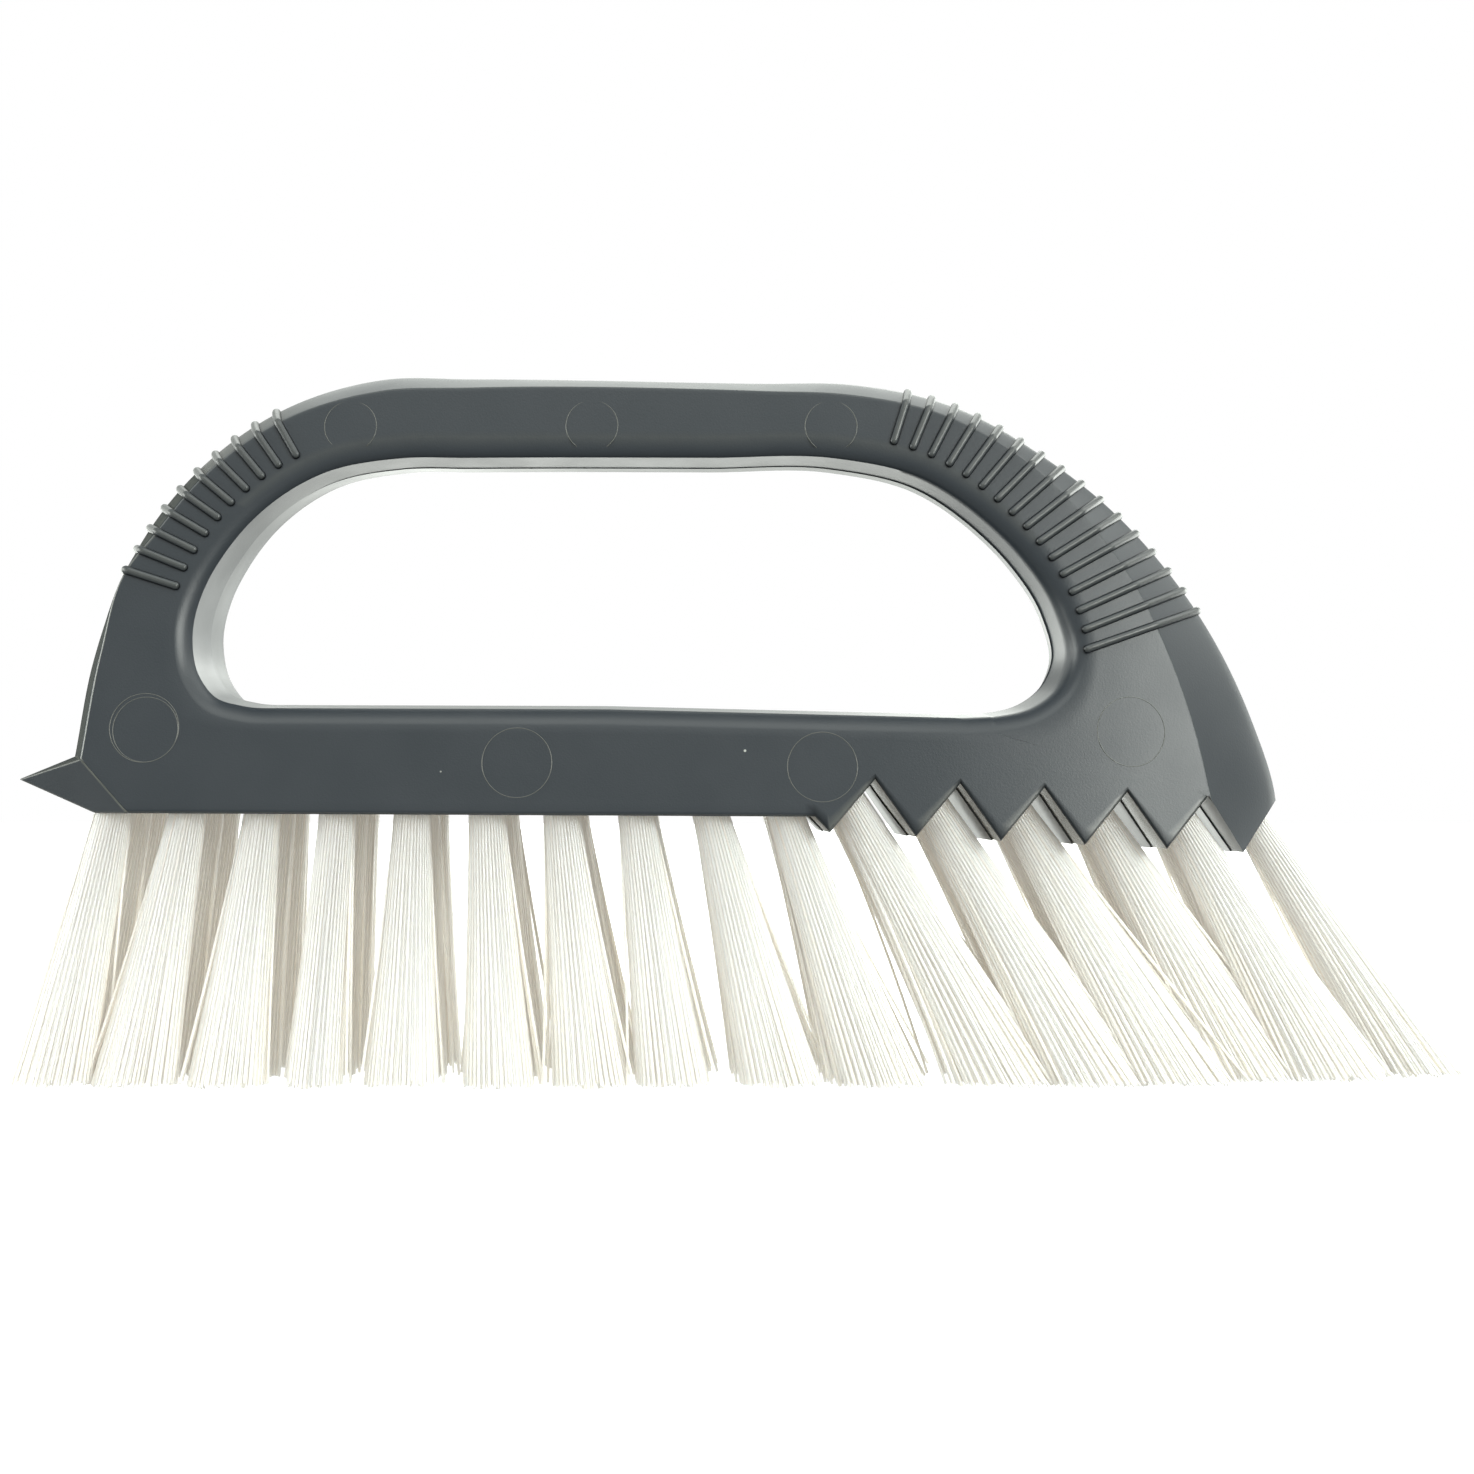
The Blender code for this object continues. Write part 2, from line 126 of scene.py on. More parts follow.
# %% [markdown]
# ## Polypropylene, injection moulded
# The body is anthracite polypropylene, which looks as if from a spark-eroded mould: a satin skin
# with broad, soft reflections, much stronger where the surface is seen edge on, over a fine
# grain. A few specks of white dust stick to it. Three numbers on the mesh, each from 0 to 1, say
# how a place looks. Wear and highlight makes it a shade lighter and more polished, in soft
# patches: partly real wear, partly painted highlights along edges and on the beads. Painted shade
# darkens it and takes most of its shine, where shade falls beside the beads and on shaded flanks.
# Dull takes all of its shine, as scuffing does.

# %% Body material
GRAIN_MM = 0.28  # real grain is finer, and drawn at the size that the picture can show
MOTTLE_MM = 9.0
PATCH_MM = 1.6
DUST_MM = 0.22
DUST_SPACING_MM = 7.0
DUST_FREE = 0.72  # of the places where a speck could lie


def moulded_polypropylene(name, wear_and_highlight_all_over):
    """The body's plastic, with so much wear and highlight everywhere, over what the mesh says."""
    made, tree, shader = new_material(name)
    place = add(tree, "ShaderNodeTexCoord").outputs["Object"]
    painted_shade = add(tree, "ShaderNodeAttribute", attribute_name="painted_shade").outputs["Fac"]
    dull = add(tree, "ShaderNodeAttribute", attribute_name="dull").outputs["Fac"]
    listed_wear_and_highlight = add(tree, "ShaderNodeAttribute", attribute_name="wear_and_highlight").outputs["Fac"]
    listed_wear_and_highlight = add(tree, "ShaderNodeMath", {0: listed_wear_and_highlight, 1: wear_and_highlight_all_over}, operation="ADD").outputs["Value"]
    patches = add(tree, "ShaderNodeTexNoise", {"Vector": place, "Scale": 1000 / PATCH_MM, "Detail": 3.0})
    patchy = add(
        tree, "ShaderNodeMapRange",
        {"Value": patches.outputs["Fac"], "From Min": 0.35, "From Max": 0.6, "To Min": 0.7, "To Max": 0.86},
    )
    wear_and_highlight = add(
        tree, "ShaderNodeMath", {0: listed_wear_and_highlight, 1: patchy.outputs["Result"]}, operation="MULTIPLY"
    ).outputs["Value"]
    grain = add(tree, "ShaderNodeTexNoise", {"Vector": place, "Scale": 1000 / GRAIN_MM, "Detail": 2.0})
    mottle = add(tree, "ShaderNodeTexNoise", {"Vector": place, "Scale": 1000 / MOTTLE_MM, "Detail": 3.0})
    skin = add(
        tree, "ShaderNodeMix",
        {"Factor": mottle.outputs["Fac"], "A": linear("#23292f"), "B": linear("#292e34")},
        data_type="RGBA",
    )
    # lighter where wear_and_highlight says: partly real wear, partly painted highlight
    lightened = add(
        tree, "ShaderNodeMix",
        {"Factor": wear_and_highlight, "A": skin.outputs["Result"], "B": linear("#5a5b57")}, data_type="RGBA",
    )
    cells = add(tree, "ShaderNodeTexVoronoi", {"Vector": place, "Scale": 1000 / DUST_SPACING_MM})
    dust = add(
        tree, "ShaderNodeMapRange",
        {"Value": cells.outputs["Distance"], "From Min": DUST_MM / DUST_SPACING_MM * 0.6,
         "From Max": DUST_MM / DUST_SPACING_MM, "To Min": 1.0, "To Max": 0.0},
    )
    rare = add(
        tree, "ShaderNodeMath", {0: cells.outputs["Color"], 1: DUST_FREE}, operation="GREATER_THAN"
    )
    speck = add(
        tree, "ShaderNodeMath", {0: dust.outputs["Result"], 1: rare.outputs["Value"]}, operation="MULTIPLY"
    )
    dusted = add(
        tree, "ShaderNodeMix",
        {"Factor": speck.outputs["Value"], "A": lightened.outputs["Result"], "B": linear("#a9aba6")},
        data_type="RGBA",
    )
    # painted shade: darker and with less shine where the mesh's painted_shade number says, beside the beads
    # and on shaded flanks
    shade_painted = add(
        tree, "ShaderNodeMix",
        {"Factor": painted_shade, "A": dusted.outputs["Result"], "B": linear("#101214")}, data_type="RGBA",
    )
    shine = add(
        tree, "ShaderNodeMapRange",
        {"Value": painted_shade, "From Min": 0.0, "From Max": 1.0, "To Min": 0.5, "To Max": 0.06},
    )
    bright = add(tree, "ShaderNodeMath", {0: 1.0, 1: dull}, operation="SUBTRACT")
    shine = add(
        tree, "ShaderNodeMath", {0: shine.outputs["Result"], 1: bright.outputs["Value"]},
        operation="MULTIPLY",
    )
    gloss = add(
        tree, "ShaderNodeMapRange",
        {"Value": mottle.outputs["Fac"], "From Min": 0.3, "From Max": 0.7, "To Min": 0.33, "To Max": 0.38},
    )
    less = add(tree, "ShaderNodeMath", {0: wear_and_highlight, 1: -0.15}, operation="MULTIPLY")
    polish = add(
        tree, "ShaderNodeMath", {0: gloss.outputs["Result"], 1: less.outputs["Value"]}, operation="ADD"
    )
    bump = add(
        tree, "ShaderNodeBump",
        {"Height": grain.outputs["Fac"], "Strength": 0.3, "Distance": mm(0.05)},
    )
    shader.inputs["IOR"].default_value = 1.49
    for name, output in (
        ("Base Color", shade_painted.outputs["Result"]),
        ("Specular IOR Level", shine.outputs["Value"]),
        ("Roughness", polish.outputs["Value"]),
        ("Normal", bump.outputs["Normal"]),
    ):
        tree.links.new(output, shader.inputs[name])
    return made


body_plastic = moulded_polypropylene("polypropylene_moulded_anthracite", 0.0)
# the scraper's bevelled edges are a shade lighter all over: partly polish, partly a painted highlight along
# them
edge_plastic = moulded_polypropylene("polypropylene_polished_and_highlit", 0.6)
print("made", body_plastic.name, edge_plastic.name)

# %% [markdown]
# ## Nylon filament, drawn
# The bristles are drawn nylon, 0.3 to 0.4 mm thick, milky white and a little glossy along its
# length. One filament differs slightly from the next, in a warm tint, so each carries a number
# of its own that the material mixes two whites with. Light that passes from filament to filament
# is more than the render follows, and a faint glow stands for it.

# %% Bristle material
def drawn_nylon():
    """The bristles' nylon: light goes about a millimetre into it, red a little further than blue."""
    made, tree, shader = new_material("nylon_drawn_white")
    tint = add(tree, "ShaderNodeAttribute", attribute_name="tint").outputs["Fac"]
    colour = add(
        tree, "ShaderNodeMix", {"Factor": tint, "A": linear("#fdf8f1"), "B": linear("#f7efe3")},
        data_type="RGBA",
    )
    tree.links.new(colour.outputs["Result"], shader.inputs["Base Color"])
    shader.inputs["Roughness"].default_value = 0.3
    shader.inputs["IOR"].default_value = 1.53
    shader.inputs["Subsurface Weight"].default_value = 1.0
    shader.inputs["Subsurface Radius"].default_value = (1.0, 0.96, 0.9)
    shader.inputs["Subsurface Scale"].default_value = mm(1.0)
    shader.inputs["Emission Color"].default_value = linear("#fdfaf0")
    shader.inputs["Emission Strength"].default_value = 0.068
    return made


filament_nylon = drawn_nylon()
print("made", filament_nylon.name)

# %% [markdown]
# ## From numbers to a mesh
# Every piece below is a grid of points: rows along one parameter, columns along the other. Four
# neighbouring points make a face. Where two columns meet in one point, the doubles are merged,
# and the thin faces between them vanish. A closed surface has a volume, whose sign tells
# whether its faces point outwards.

# %% Grids and pieces
def grid_faces(rows, columns, closed_rows=False, closed_columns=False):
    """Index quads of a grid stored row by row: (i, j), (i, j+1), (i+1, j+1), (i+1, j)."""
    i = np.arange(rows - (not closed_rows))[:, None]
    j = np.arange(columns - (not closed_columns))[None, :]
    i_next, j_next = (i + 1) % rows, (j + 1) % columns
    corners = np.broadcast_arrays(
        i * columns + j, i * columns + j_next, i_next * columns + j_next, i_next * columns + j
    )
    return np.stack(corners, axis=-1).reshape(-1, 4)


def new_piece(name, points, faces, finish, sharp=35, numbers=None):
    """A mesh piece of the brush, merged, turned outwards and smooth below the sharp angle."""
    mesh = bpy.data.meshes.new(name)
    mesh.from_pydata(points.reshape(-1, 3).tolist(), [], [list(f) for f in faces])
    for attribute, values in (numbers or {}).items():
        mesh.attributes.new(attribute, "FLOAT", "POINT").data.foreach_set("value", values.ravel())
    bm = bmesh.new()
    bm.from_mesh(mesh)
    bmesh.ops.remove_doubles(bm, verts=bm.verts, dist=1e-7)
    if bm.calc_volume(signed=True) < 0:
        bmesh.ops.reverse_faces(bm, faces=bm.faces)
    bm.to_mesh(mesh)
    bm.free()
    mesh.materials.append(finish)
    mesh.shade_smooth()
    mesh.set_sharp_from_angle(angle=math.radians(sharp))
    made = bpy.data.objects.new(name, mesh)
    bpy.context.scene.collection.objects.link(made)
    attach(made, "root")
    return made


def sweep(paths, across, radii, sides, closed=False):
    """Round tubes along paths: point + radius * (cos a * across + sin a * (along x across)).

    paths is (tubes, points, 3), across a direction (tubes, 3) square to each path, and radii
    (points,) or (tubes, points). Open tubes get a flat face at each end.
    """
    tubes, count, _ = paths.shape
    along = (np.roll(paths, -1, 1) - np.roll(paths, 1, 1)) if closed else np.gradient(paths, axis=1)
    along = along / np.linalg.norm(along, axis=2)[..., None]
    side = across[:, None, :] - along * (along * across[:, None, :]).sum(-1)[..., None]
    side = side / np.linalg.norm(side, axis=2)[..., None]
    up = np.cross(along, side)
    angle = np.arange(sides) * 2 * np.pi / sides
    circle = np.cos(angle)[:, None] * side[:, :, None, :] + np.sin(angle)[:, None] * up[:, :, None, :]
    radii = np.broadcast_to(radii, (tubes, count))
    points = paths[:, :, None, :] + radii[..., None, None] * circle
    one = grid_faces(count, sides, closed, True)
    starts = np.arange(tubes) * count * sides
    faces = (one[None] + starts[:, None, None]).reshape(-1, 4).tolist()
    if not closed:
        cap = np.arange(sides)
        first = starts[:, None] + cap[None, ::-1]
        last = starts[:, None] + (count - 1) * sides + cap[None]
        faces += first.tolist() + last.tolist()
    return points, faces


# %% [markdown]
# ## The outlines of the moulding
# Seen from the front, the body has three outlines: the crest, which is its outer edge at the
# mould line; the crease, where the rounded rim meets the flat face; and the edge of the hand
# opening. Each is a smooth curve through a few points, one station beside the other. The
# stations lie close to those of the solids and follow the photograph a little more closely.
# Heights are over BRISTLE_REACH, which is the underside's height at X = 0.

# %% Outlines and sizes
BRISTLE_REACH = 0.0384
UNDERSIDE_SLOPE = -0.005
BASE_WIDTH = 0.0324
FACE_LEAN = 0.1667
BOW_START_X = 0.012
BOW_RATE = 4.37
CREST = mm(
    (-98.05, 8.8), (-95.3, 22.9), (-90.6, 35.9), (-86.8, 42.5), (-80.05, 50.6), (-67.5, 59.6),
    (-52.8, 64.0), (-40.0, 64.08), (3.0, 63.42), (15.4, 63.3), (30.7, 60.1), (44.7, 52.3),
    (52.6, 46.2), (61.9, 36.4), (68.5, 26.9), (75.05, 13.1), (78.05, 3.6),
)
CREASE = mm(
    (-93.1, 8.0), (-91.0, 22.9), (-88.0, 34.8), (-83.9, 40.3), (-77.7, 48.2), (-66.0, 57.0),
    (-52.4, 61.2), (-40.0, 61.7), (3.0, 61.2), (14.8, 60.7), (28.8, 57.8), (42.2, 50.0),
    (49.1, 43.1), (56.4, 33.0), (60.6, 24.0), (64.7, 11.4), (66.3, 3.8),
)
HAND_HOLE = mm(
    (-77.6, 19.8), (-78.8, 25.6), (-77.0, 33.1), (-74.9, 36.9), (-70.1, 42.9), (-60.8, 49.1),
    (-50.0, 51.3), (-40.0, 51.4), (-5.0, 51.4), (13.0, 51.3), (25.4, 48.4), (35.0, 41.8),
    (39.4, 37.3), (44.4, 29.4), (45.8, 22.6), (43.9, 18.3), (40.5, 15.7), (35.0, 14.3),
    (30.5, 14.1), (26.0, 14.2), (-58.5, 15.45), (-65.0, 15.5), (-71.5, 15.8), (-75.3, 17.0),
)
STATIONS = len(CREST)
CREST_FOOT_X, CREASE_FOOT_X = 0.0786, 0.0681
CORNER_X = -0.0862
TOOTH_COUNT, TOOTH_PITCH = 6, 0.0120
FIRST_TOOTH_X, FIRST_TOOTH_DROP, TOOTH_ROW_SLOPE = 0.0118, 0.00225, -0.05
NOTCH = mm(6.4, 7.45)
END_X = FIRST_TOOTH_X - 0.0021


def underside(x):
    """Height of the flat underside: its reach at X = 0, falling by its slope."""
    return BRISTLE_REACH + UNDERSIDE_SLOPE * x


def half_thickness(x, z):
    """Half of: the base's width, less the faces' lean with height, less the bow's curve."""
    lean = 2 * FACE_LEAN * (z - BRISTLE_REACH)
    return (BASE_WIDTH - lean - BOW_RATE * np.clip(x - BOW_START_X, 0, None) ** 2) / 2


tooth = np.arange(TOOTH_COUNT)[:, None]
tooth_tips = np.hstack([
    FIRST_TOOTH_X + tooth * TOOTH_PITCH,
    BRISTLE_REACH - FIRST_TOOTH_DROP + TOOTH_ROW_SLOPE * tooth * TOOTH_PITCH,
])
saw = np.stack([tooth_tips, tooth_tips + NOTCH], axis=1).reshape(-1, 2)
saw = np.vstack([(CORNER_X, underside(CORNER_X)), (END_X, underside(END_X)), saw])


def lower_edge(x):
    """Height of the body's lower edge: the underside, then the saw teeth, point to point."""
    return np.interp(x, saw[:, 0], saw[:, 1])


print("teeth from", tooth_tips[0].round(4), "to", tooth_tips[-1].round(4))

# %% [markdown]
# ## Smooth curves
# Each curve leaves a point along the line between that point's two neighbours. The last piece
# of the crest and of the crease runs down into the last notch, where the teeth cut it off.

# %% Curves through the stations
STEPS = 14
FINE = 40 * STEPS


def smooth_curve(points, steps, closed=False):
    """Cubic pieces: a point's direction is the mean of its two steps' directions, the short one first.

    With steps p, q of lengths l, m it is (m * p / l + l * q / m) / (l + m), times a piece's own length.
    """
    first, last = (points[-1:], points[:2]) if closed else (
        2 * points[:1] - points[1:2], 2 * points[-1:] - points[-2:-1]
    )
    padded = np.vstack([first, points, last])
    step = np.diff(padded, axis=0)
    length = np.linalg.norm(step, axis=1)[:, None]
    way = step / length
    slope = (length[1:] * way[:-1] + length[:-1] * way[1:]) / (length[:-1] + length[1:])
    points = padded[1:-1]
    t = (np.arange(steps) / steps)[None, :, None]
    a, b = points[:-1, None], points[1:, None]
    u, v = (slope[:-1] * length[1:-1])[:, None], (slope[1:] * length[1:-1])[:, None]
    curve = (2 * t**3 - 3 * t**2 + 1) * a + (t**3 - 2 * t**2 + t) * u
    curve = curve + (3 * t**2 - 2 * t**3) * b + (t**3 - t**2) * v
    return np.vstack([curve.reshape(-1, 2), points[-1:]])


def stock_line(x):
    """The straight line under the teeth that the handle's curves run down to."""
    return tooth_tips[0, 1] - 0.0008 + TOOTH_ROW_SLOPE * (x - FIRST_TOOTH_X)


def raised(outline):
    """An outline with its heights over the floor."""
    return outline + (0, BRISTLE_REACH)


def with_foot(outline, foot_x):
    return np.vstack([raised(outline), (foot_x, stock_line(foot_x))])


crest_fine = smooth_curve(with_foot(CREST, CREST_FOOT_X), FINE)
crease_fine = smooth_curve(with_foot(CREASE, CREASE_FOOT_X), FINE)
hole_loop = smooth_curve(raised(HAND_HOLE), STEPS, closed=True)
print("hole loop of", len(hole_loop), "points")


# %% [markdown]
# ## The rim
# From the crease the rim leans out, almost straight, to a crisp crest where the mould halves
# met: that lean let the halves come off. With s as the share of the half thickness, 1 at the
# crease and 0 at the crest, its point is the crease plus (crest - crease) * (1 - s ** 1.15). One
# ring of points is made for each s.

# %% Rim rings
RIM_POWER = 1.15


def handle_ring(s):
    """The ring at share s along the handle, as (x, z, y), cut off where it meets the teeth."""
    path = crease_fine + (crest_fine - crease_fine) * (1 - s**RIM_POWER)
    depth = s * half_thickness(crease_fine[:, 0], crease_fine[:, 1])
    path = np.column_stack([path, depth])
    last = path[-FINE - 1 :]
    under = last[:, 1] < lower_edge(last[:, 0])
    end = np.argmax(under)
    gap = last[end - 1 : end + 1, 1] - lower_edge(last[end - 1 : end + 1, 0])
    stop = end - 1 + gap[0] / (gap[0] - gap[1])
    at = np.linspace(0, stop, STEPS + 1)
    tail = np.stack([np.interp(at, np.arange(FINE + 1), last[:, k]) for k in range(3)], axis=1)
    return np.vstack([path[: -FINE - 1 : FINE // STEPS], tail])


shares = np.linspace(0, 1, 60)
feet = np.array([handle_ring(s)[-1, 0] for s in shares])
nose_share = np.interp(-tooth_tips[-1, 0], -feet, shares)
rim_shares = np.sort(np.append(np.linspace(0, 0.93, 13), nose_share))
print("the last tooth's tip lies at share", round(float(nose_share), 3), "of the nose")

# %% [markdown]
# ## Columns
# A column joins the rings, from the crest to the wall of the hand opening. Over the handle the
# columns follow the stations. Under the nose they stand at fixed places, so that the last tooth
# keeps its sharp edge. Then they follow the saw teeth and the underside to the scraper.

# %% Columns along the lower edge
FLANK_STEPS = 5
saw_x = [
    np.linspace(a, b, FLANK_STEPS + 1)[1:]
    for a, b in zip(saw[:-2, 0][::-1][:-1], saw[:-2, 0][::-1][1:])
]
crease_foot, crest_foot = handle_ring(1)[-1], handle_ring(0)[-1]
nose_x = np.concatenate([
    np.linspace(crest_foot[0], tooth_tips[-1, 0], 9)[1:],
    np.linspace(tooth_tips[-1, 0], crease_foot[0], 7)[1:],
])
TURN_X = (-0.0478, -0.0670, CORNER_X)  # where the opening's lower left corner starts and turns
teeth_x = np.concatenate([[0.5 * (crease_foot[0] + saw[-3, 0])], [saw[-3, 0]], *saw_x[:-1]])
base_x = np.concatenate([
    np.linspace(END_X, TURN_X[0], 40)[1:],
    np.linspace(TURN_X[0], TURN_X[1], 11)[1:],
    np.linspace(TURN_X[1], TURN_X[2], 11)[1:],
])
under_x = np.concatenate([teeth_x, base_x])
END_STEPS = 10
print("columns: nose", len(nose_x), "teeth", len(teeth_x), "base", len(base_x))


# %% [markdown]
# ## Rings of the near half
# The near half is one grid: the rim's rings, a small rounding at the crease, the face, the lip
# that rolls into the hand opening, and half of the opening's wall. The rounding is 0.2 mm at
# the crease and 0.5 mm at the teeth, where the photograph shows a bevel. Under the opening's
# right end and at the foot of the nose a few columns still cross, and 35 slivers of the face
# are folded over there.

# %% The near half
EDGE_ROUND, TOOTH_ROUND = mm(0.2), mm(0.5)
LIP_WIDTH, LIP_MORE = mm(2.8), mm(0.4, 0.2)  # more of it to the right, and at the top
LIP_START, LIP_END, LIP_END_RIGHT = np.radians((9, 57, 76))
LIP_LATE_TOP = 2.2  # at the top it turns late, close to its edge
LIP_EARLY_LEFT, LIP_LESS_LEFT = 0.45, mm(0.4)  # on the left it turns early, and is narrower
NEAR_INSET, FAR_INSET = (-0.02, -0.05), (-0.01, -0.04)  # shares of the wall's depth, see half_body
WALL_LEAN = 0.06
FACE_RINGS, LIP_RINGS, WALL_RINGS = 5, 9, 6
# the shelf is a line along the lower face that spreads the columns: over a column's x, its x and z
SHELF_X = mm((-200.0, -200.0), (59.8, 59.8), (67.4, 65.5))
SHELF_Z = mm((17.0, 45.2), (60.0, 43.1), (66.2, 42.4), (67.4, 41.5))
FOOT_COLUMNS = 28
FLOOR_LINE = mm((-65.0, 15.5), (-20.0, 15.35), (30.5, 14.1), (35.0, 14.3))


def under_ring(s):
    """The ring at share s under the body: nose columns, then teeth and underside, then the end."""
    whole = handle_ring(s)
    foot = whole[-1]
    nose = np.column_stack([nose_x, lower_edge(nose_x), np.full(len(nose_x), foot[2])])
    nose[nose_x >= foot[0]] = foot
    z = lower_edge(under_x)
    below = np.column_stack([under_x, z, s * half_thickness(under_x, z)])
    t = (np.arange(1, END_STEPS) / END_STEPS)[:, None]
    end = below[-1] + (whole[0] - below[-1]) * t
    return np.vstack([whole, nose, below, end])


def outward(outline):
    """Unit normals, in the plane, of a closed outline that runs clockwise."""
    along = np.roll(outline, -1, axis=0) - np.roll(outline, 1, axis=0)
    normal = np.stack([-along[:, 1], along[:, 0]], axis=1)
    return normal / np.linalg.norm(normal, axis=1)[:, None]


def hole_rings():
    """The opening's edge and its lip's border, one point a column, without the nose's columns."""
    handle = hole_loop[: STATIONS * STEPS + 1]
    turns_x = (TURN_X[0], END_X, 0.057, crease_foot[0])  # of the columns, and then of the floor
    flat = under_x[under_x >= TURN_X[0] - 1e-9]
    floor_x = np.interp(flat, turns_x, (-0.065, END_X, 0.0305, 0.035))
    # the floor's last column meets point 21 of HAND_HOLE, and the corner runs on to its last, 23
    floor_z = BRISTLE_REACH + np.interp(floor_x, *FLOOR_LINE.T)
    at = np.concatenate([
        np.interp(under_x[under_x < TURN_X[0] - 1e-9], (TURN_X[2], TURN_X[1], TURN_X[0]), (23, 22, 21)),
        23 + np.arange(1, END_STEPS) / END_STEPS,
    ]) * STEPS
    index = np.arange(len(hole_loop))
    corner = np.column_stack([np.interp(at, index, hole_loop[:, k]) for k in (0, 1)])
    hole = np.vstack([handle, np.column_stack([floor_x, floor_z]), corner])
    normal = outward(hole)
    width = LIP_WIDTH + normal @ LIP_MORE[:, None]
    width -= LIP_LESS_LEFT * np.clip(-normal[:, :1], 0, 1)
    return hole, hole + normal * width, normal, width


def blend_to(a, b, t):
    return a + (b - a) * t


def lip_profile(width, normal):
    """(share, drop) of each lip ring at each column, from its border to the opening's edge.

    The turn t runs from a to b, and the share of the width is (sin t - sin a) / (sin b - sin a), to
    the power 1 / n. With n = 1 it is a circle's arc, above 1 it turns late, and below 1 early. The
    drop sums up width * step of share * tan t.
    """
    end = LIP_END + (LIP_END_RIGHT - LIP_END) * np.clip(normal[:, 0], 0, 1)
    late = 1 + LIP_LATE_TOP * np.clip(normal[:, 1], 0, 1) ** 2
    late -= LIP_EARLY_LEFT * np.clip(-normal[:, 0], 0, 1) ** 2
    turn = LIP_START + (end - LIP_START) * np.linspace(0, 1, LIP_RINGS)[:, None]
    share = (np.sin(turn) - math.sin(LIP_START)) / (np.sin(end) - math.sin(LIP_START))
    share = np.clip(share, 0, 1) ** (1 / late)
    drop = np.diff(share, axis=0) * np.tan((turn[1:] + turn[:-1]) / 2) * width[:, 0]
    return share, np.vstack([np.zeros(len(width)), np.cumsum(drop, axis=0)])


def half_body(inset):
    """Rings of one half from the crest to the wall's middle, as (x, z, y).

    inset is (everywhere, more to the right and less to the left), as shares of the wall's depth.
    Above 0 it narrows the opening at its edge, and below 0 it widens it.
    """
    rings = [under_ring(s) for s in rim_shares]
    corner = under_ring(1)
    handle = STEPS * STATIONS + 1
    nose = np.full(len(nose_x), handle - 1)
    order = np.concatenate([np.arange(handle), nose, np.arange(handle, len(corner) - len(nose_x))])
    hole, lip, normal, width = (part[order] for part in hole_rings())
    lip_share, lip_drop = lip_profile(width, normal)
    depth = lip_drop[-1]
    inset = (inset[0] + inset[1] * normal[:, 0]) * (half_thickness(*hole.T) - depth)
    edge = hole - normal * inset[:, None]

    # the rounding starts on the rim, one size along u, and ends on the face, at corner + v
    is_under = np.zeros(len(corner), bool)
    is_under[handle + len(nose_x) : -END_STEPS + 1] = True
    toward_foot = np.clip((np.arange(len(corner)) - handle + FOOT_COLUMNS) / FOOT_COLUMNS, 0, 1)
    toward_foot[-END_STEPS + 1 :] = 0
    late = np.clip(toward_foot * 2 - 1, 0, 1)[:, None]
    size = blend_to(EDGE_ROUND, TOOTH_ROUND, late)
    u = under_ring(0.97) - corner
    u /= np.linalg.norm(u, axis=1)[:, None]
    toward = lip - corner[:, :2]
    toward /= np.linalg.norm(toward, axis=1)[:, None]
    toward = blend_to(toward, np.array((-0.5, 1.2)), late)
    toward[is_under] = (0, 1.3)
    flat = corner[:, :2] + toward * size
    v = np.column_stack([flat, half_thickness(*flat.T)]) - corner
    for angle in np.linspace(0, np.pi / 2, 7):
        rings.append(corner + u * size * (1 - math.sin(angle)) + v * (1 - math.cos(angle)))
    shelf = blend_to(flat, lip, 0.3 - 0.24 * toward_foot[:, None])
    over = corner[is_under, 0]
    shelf[is_under] = np.column_stack([np.interp(over, *SHELF_X.T), np.interp(over, *SHELF_Z.T)])
    shelf[-END_STEPS + 1 :] = blend_to(
        shelf[-END_STEPS], shelf[0], (np.arange(1, END_STEPS) / END_STEPS)[:, None]
    )
    for start, end in ((flat, shelf), (shelf, lip)):
        for t in np.arange(1, FACE_RINGS + 1) / FACE_RINGS:
            plan = blend_to(start, end, t)
            rings.append(np.column_stack([plan, half_thickness(*plan.T)]))
    for share, drop in zip(lip_share[1:], lip_drop[1:]):
        plan = blend_to(lip, edge, share[:, None])
        rings.append(np.column_stack([plan, half_thickness(*plan.T) - drop]))
    at_edge = half_thickness(*edge.T) - depth
    for t in np.arange(1, WALL_RINGS + 1) / WALL_RINGS:
        plan = hole - normal * blend_to(inset, WALL_LEAN * at_edge, t)[:, None]
        rings.append(np.column_stack([plan, at_edge * (1 - t)]))
    return np.array(rings)


near_rings, far_rings = half_body(NEAR_INSET), half_body(FAR_INSET)
print("half a body:", near_rings.shape[0], "rings of", near_rings.shape[1], "columns")

# %% [markdown]
# ## Two mould halves
# The far half mirrors the near one, with its opening a little narrower. The two halves of a
# mould never meet exactly, so here the far one sits 0.16 mm to the left and 0.1 mm lower. The
# step shows as a dark hairline on the walls that face left or down. On the tooth flanks the line
# wanders towards the camera, so the rim's rings are moved there, the middle one furthest.

# %% The body
MOULD_SHIFT = (mm(-0.16), 0.0, mm(-0.1))
SEAM_X = mm(20.0, 24.0, 34.0, 46.0, 58.0, 68.0)
SEAM_Y = mm(0.0, -5.0, -7.0, -4.5, -2.0, 0.0)


def body_points():
    """Both halves as rows of (x, y, z): the near one from the crest, then the far one back to it."""
    near = near_rings[..., [0, 2, 1]] * (1, -1, 1)
    far = far_rings[..., [0, 2, 1]] + MOULD_SHIFT
    handle = STEPS * STATIONS + 1 + len(nose_x)
    seam = np.zeros(near.shape[1])
    seam[handle : handle + len(teeth_x)] = np.interp(teeth_x, SEAM_X, SEAM_Y)
    count = len(rim_shares)
    for half in (near, far):
        half[:count, :, 1] += seam * (1 - rim_shares[:, None])
    return np.concatenate([near, far[::-1]])


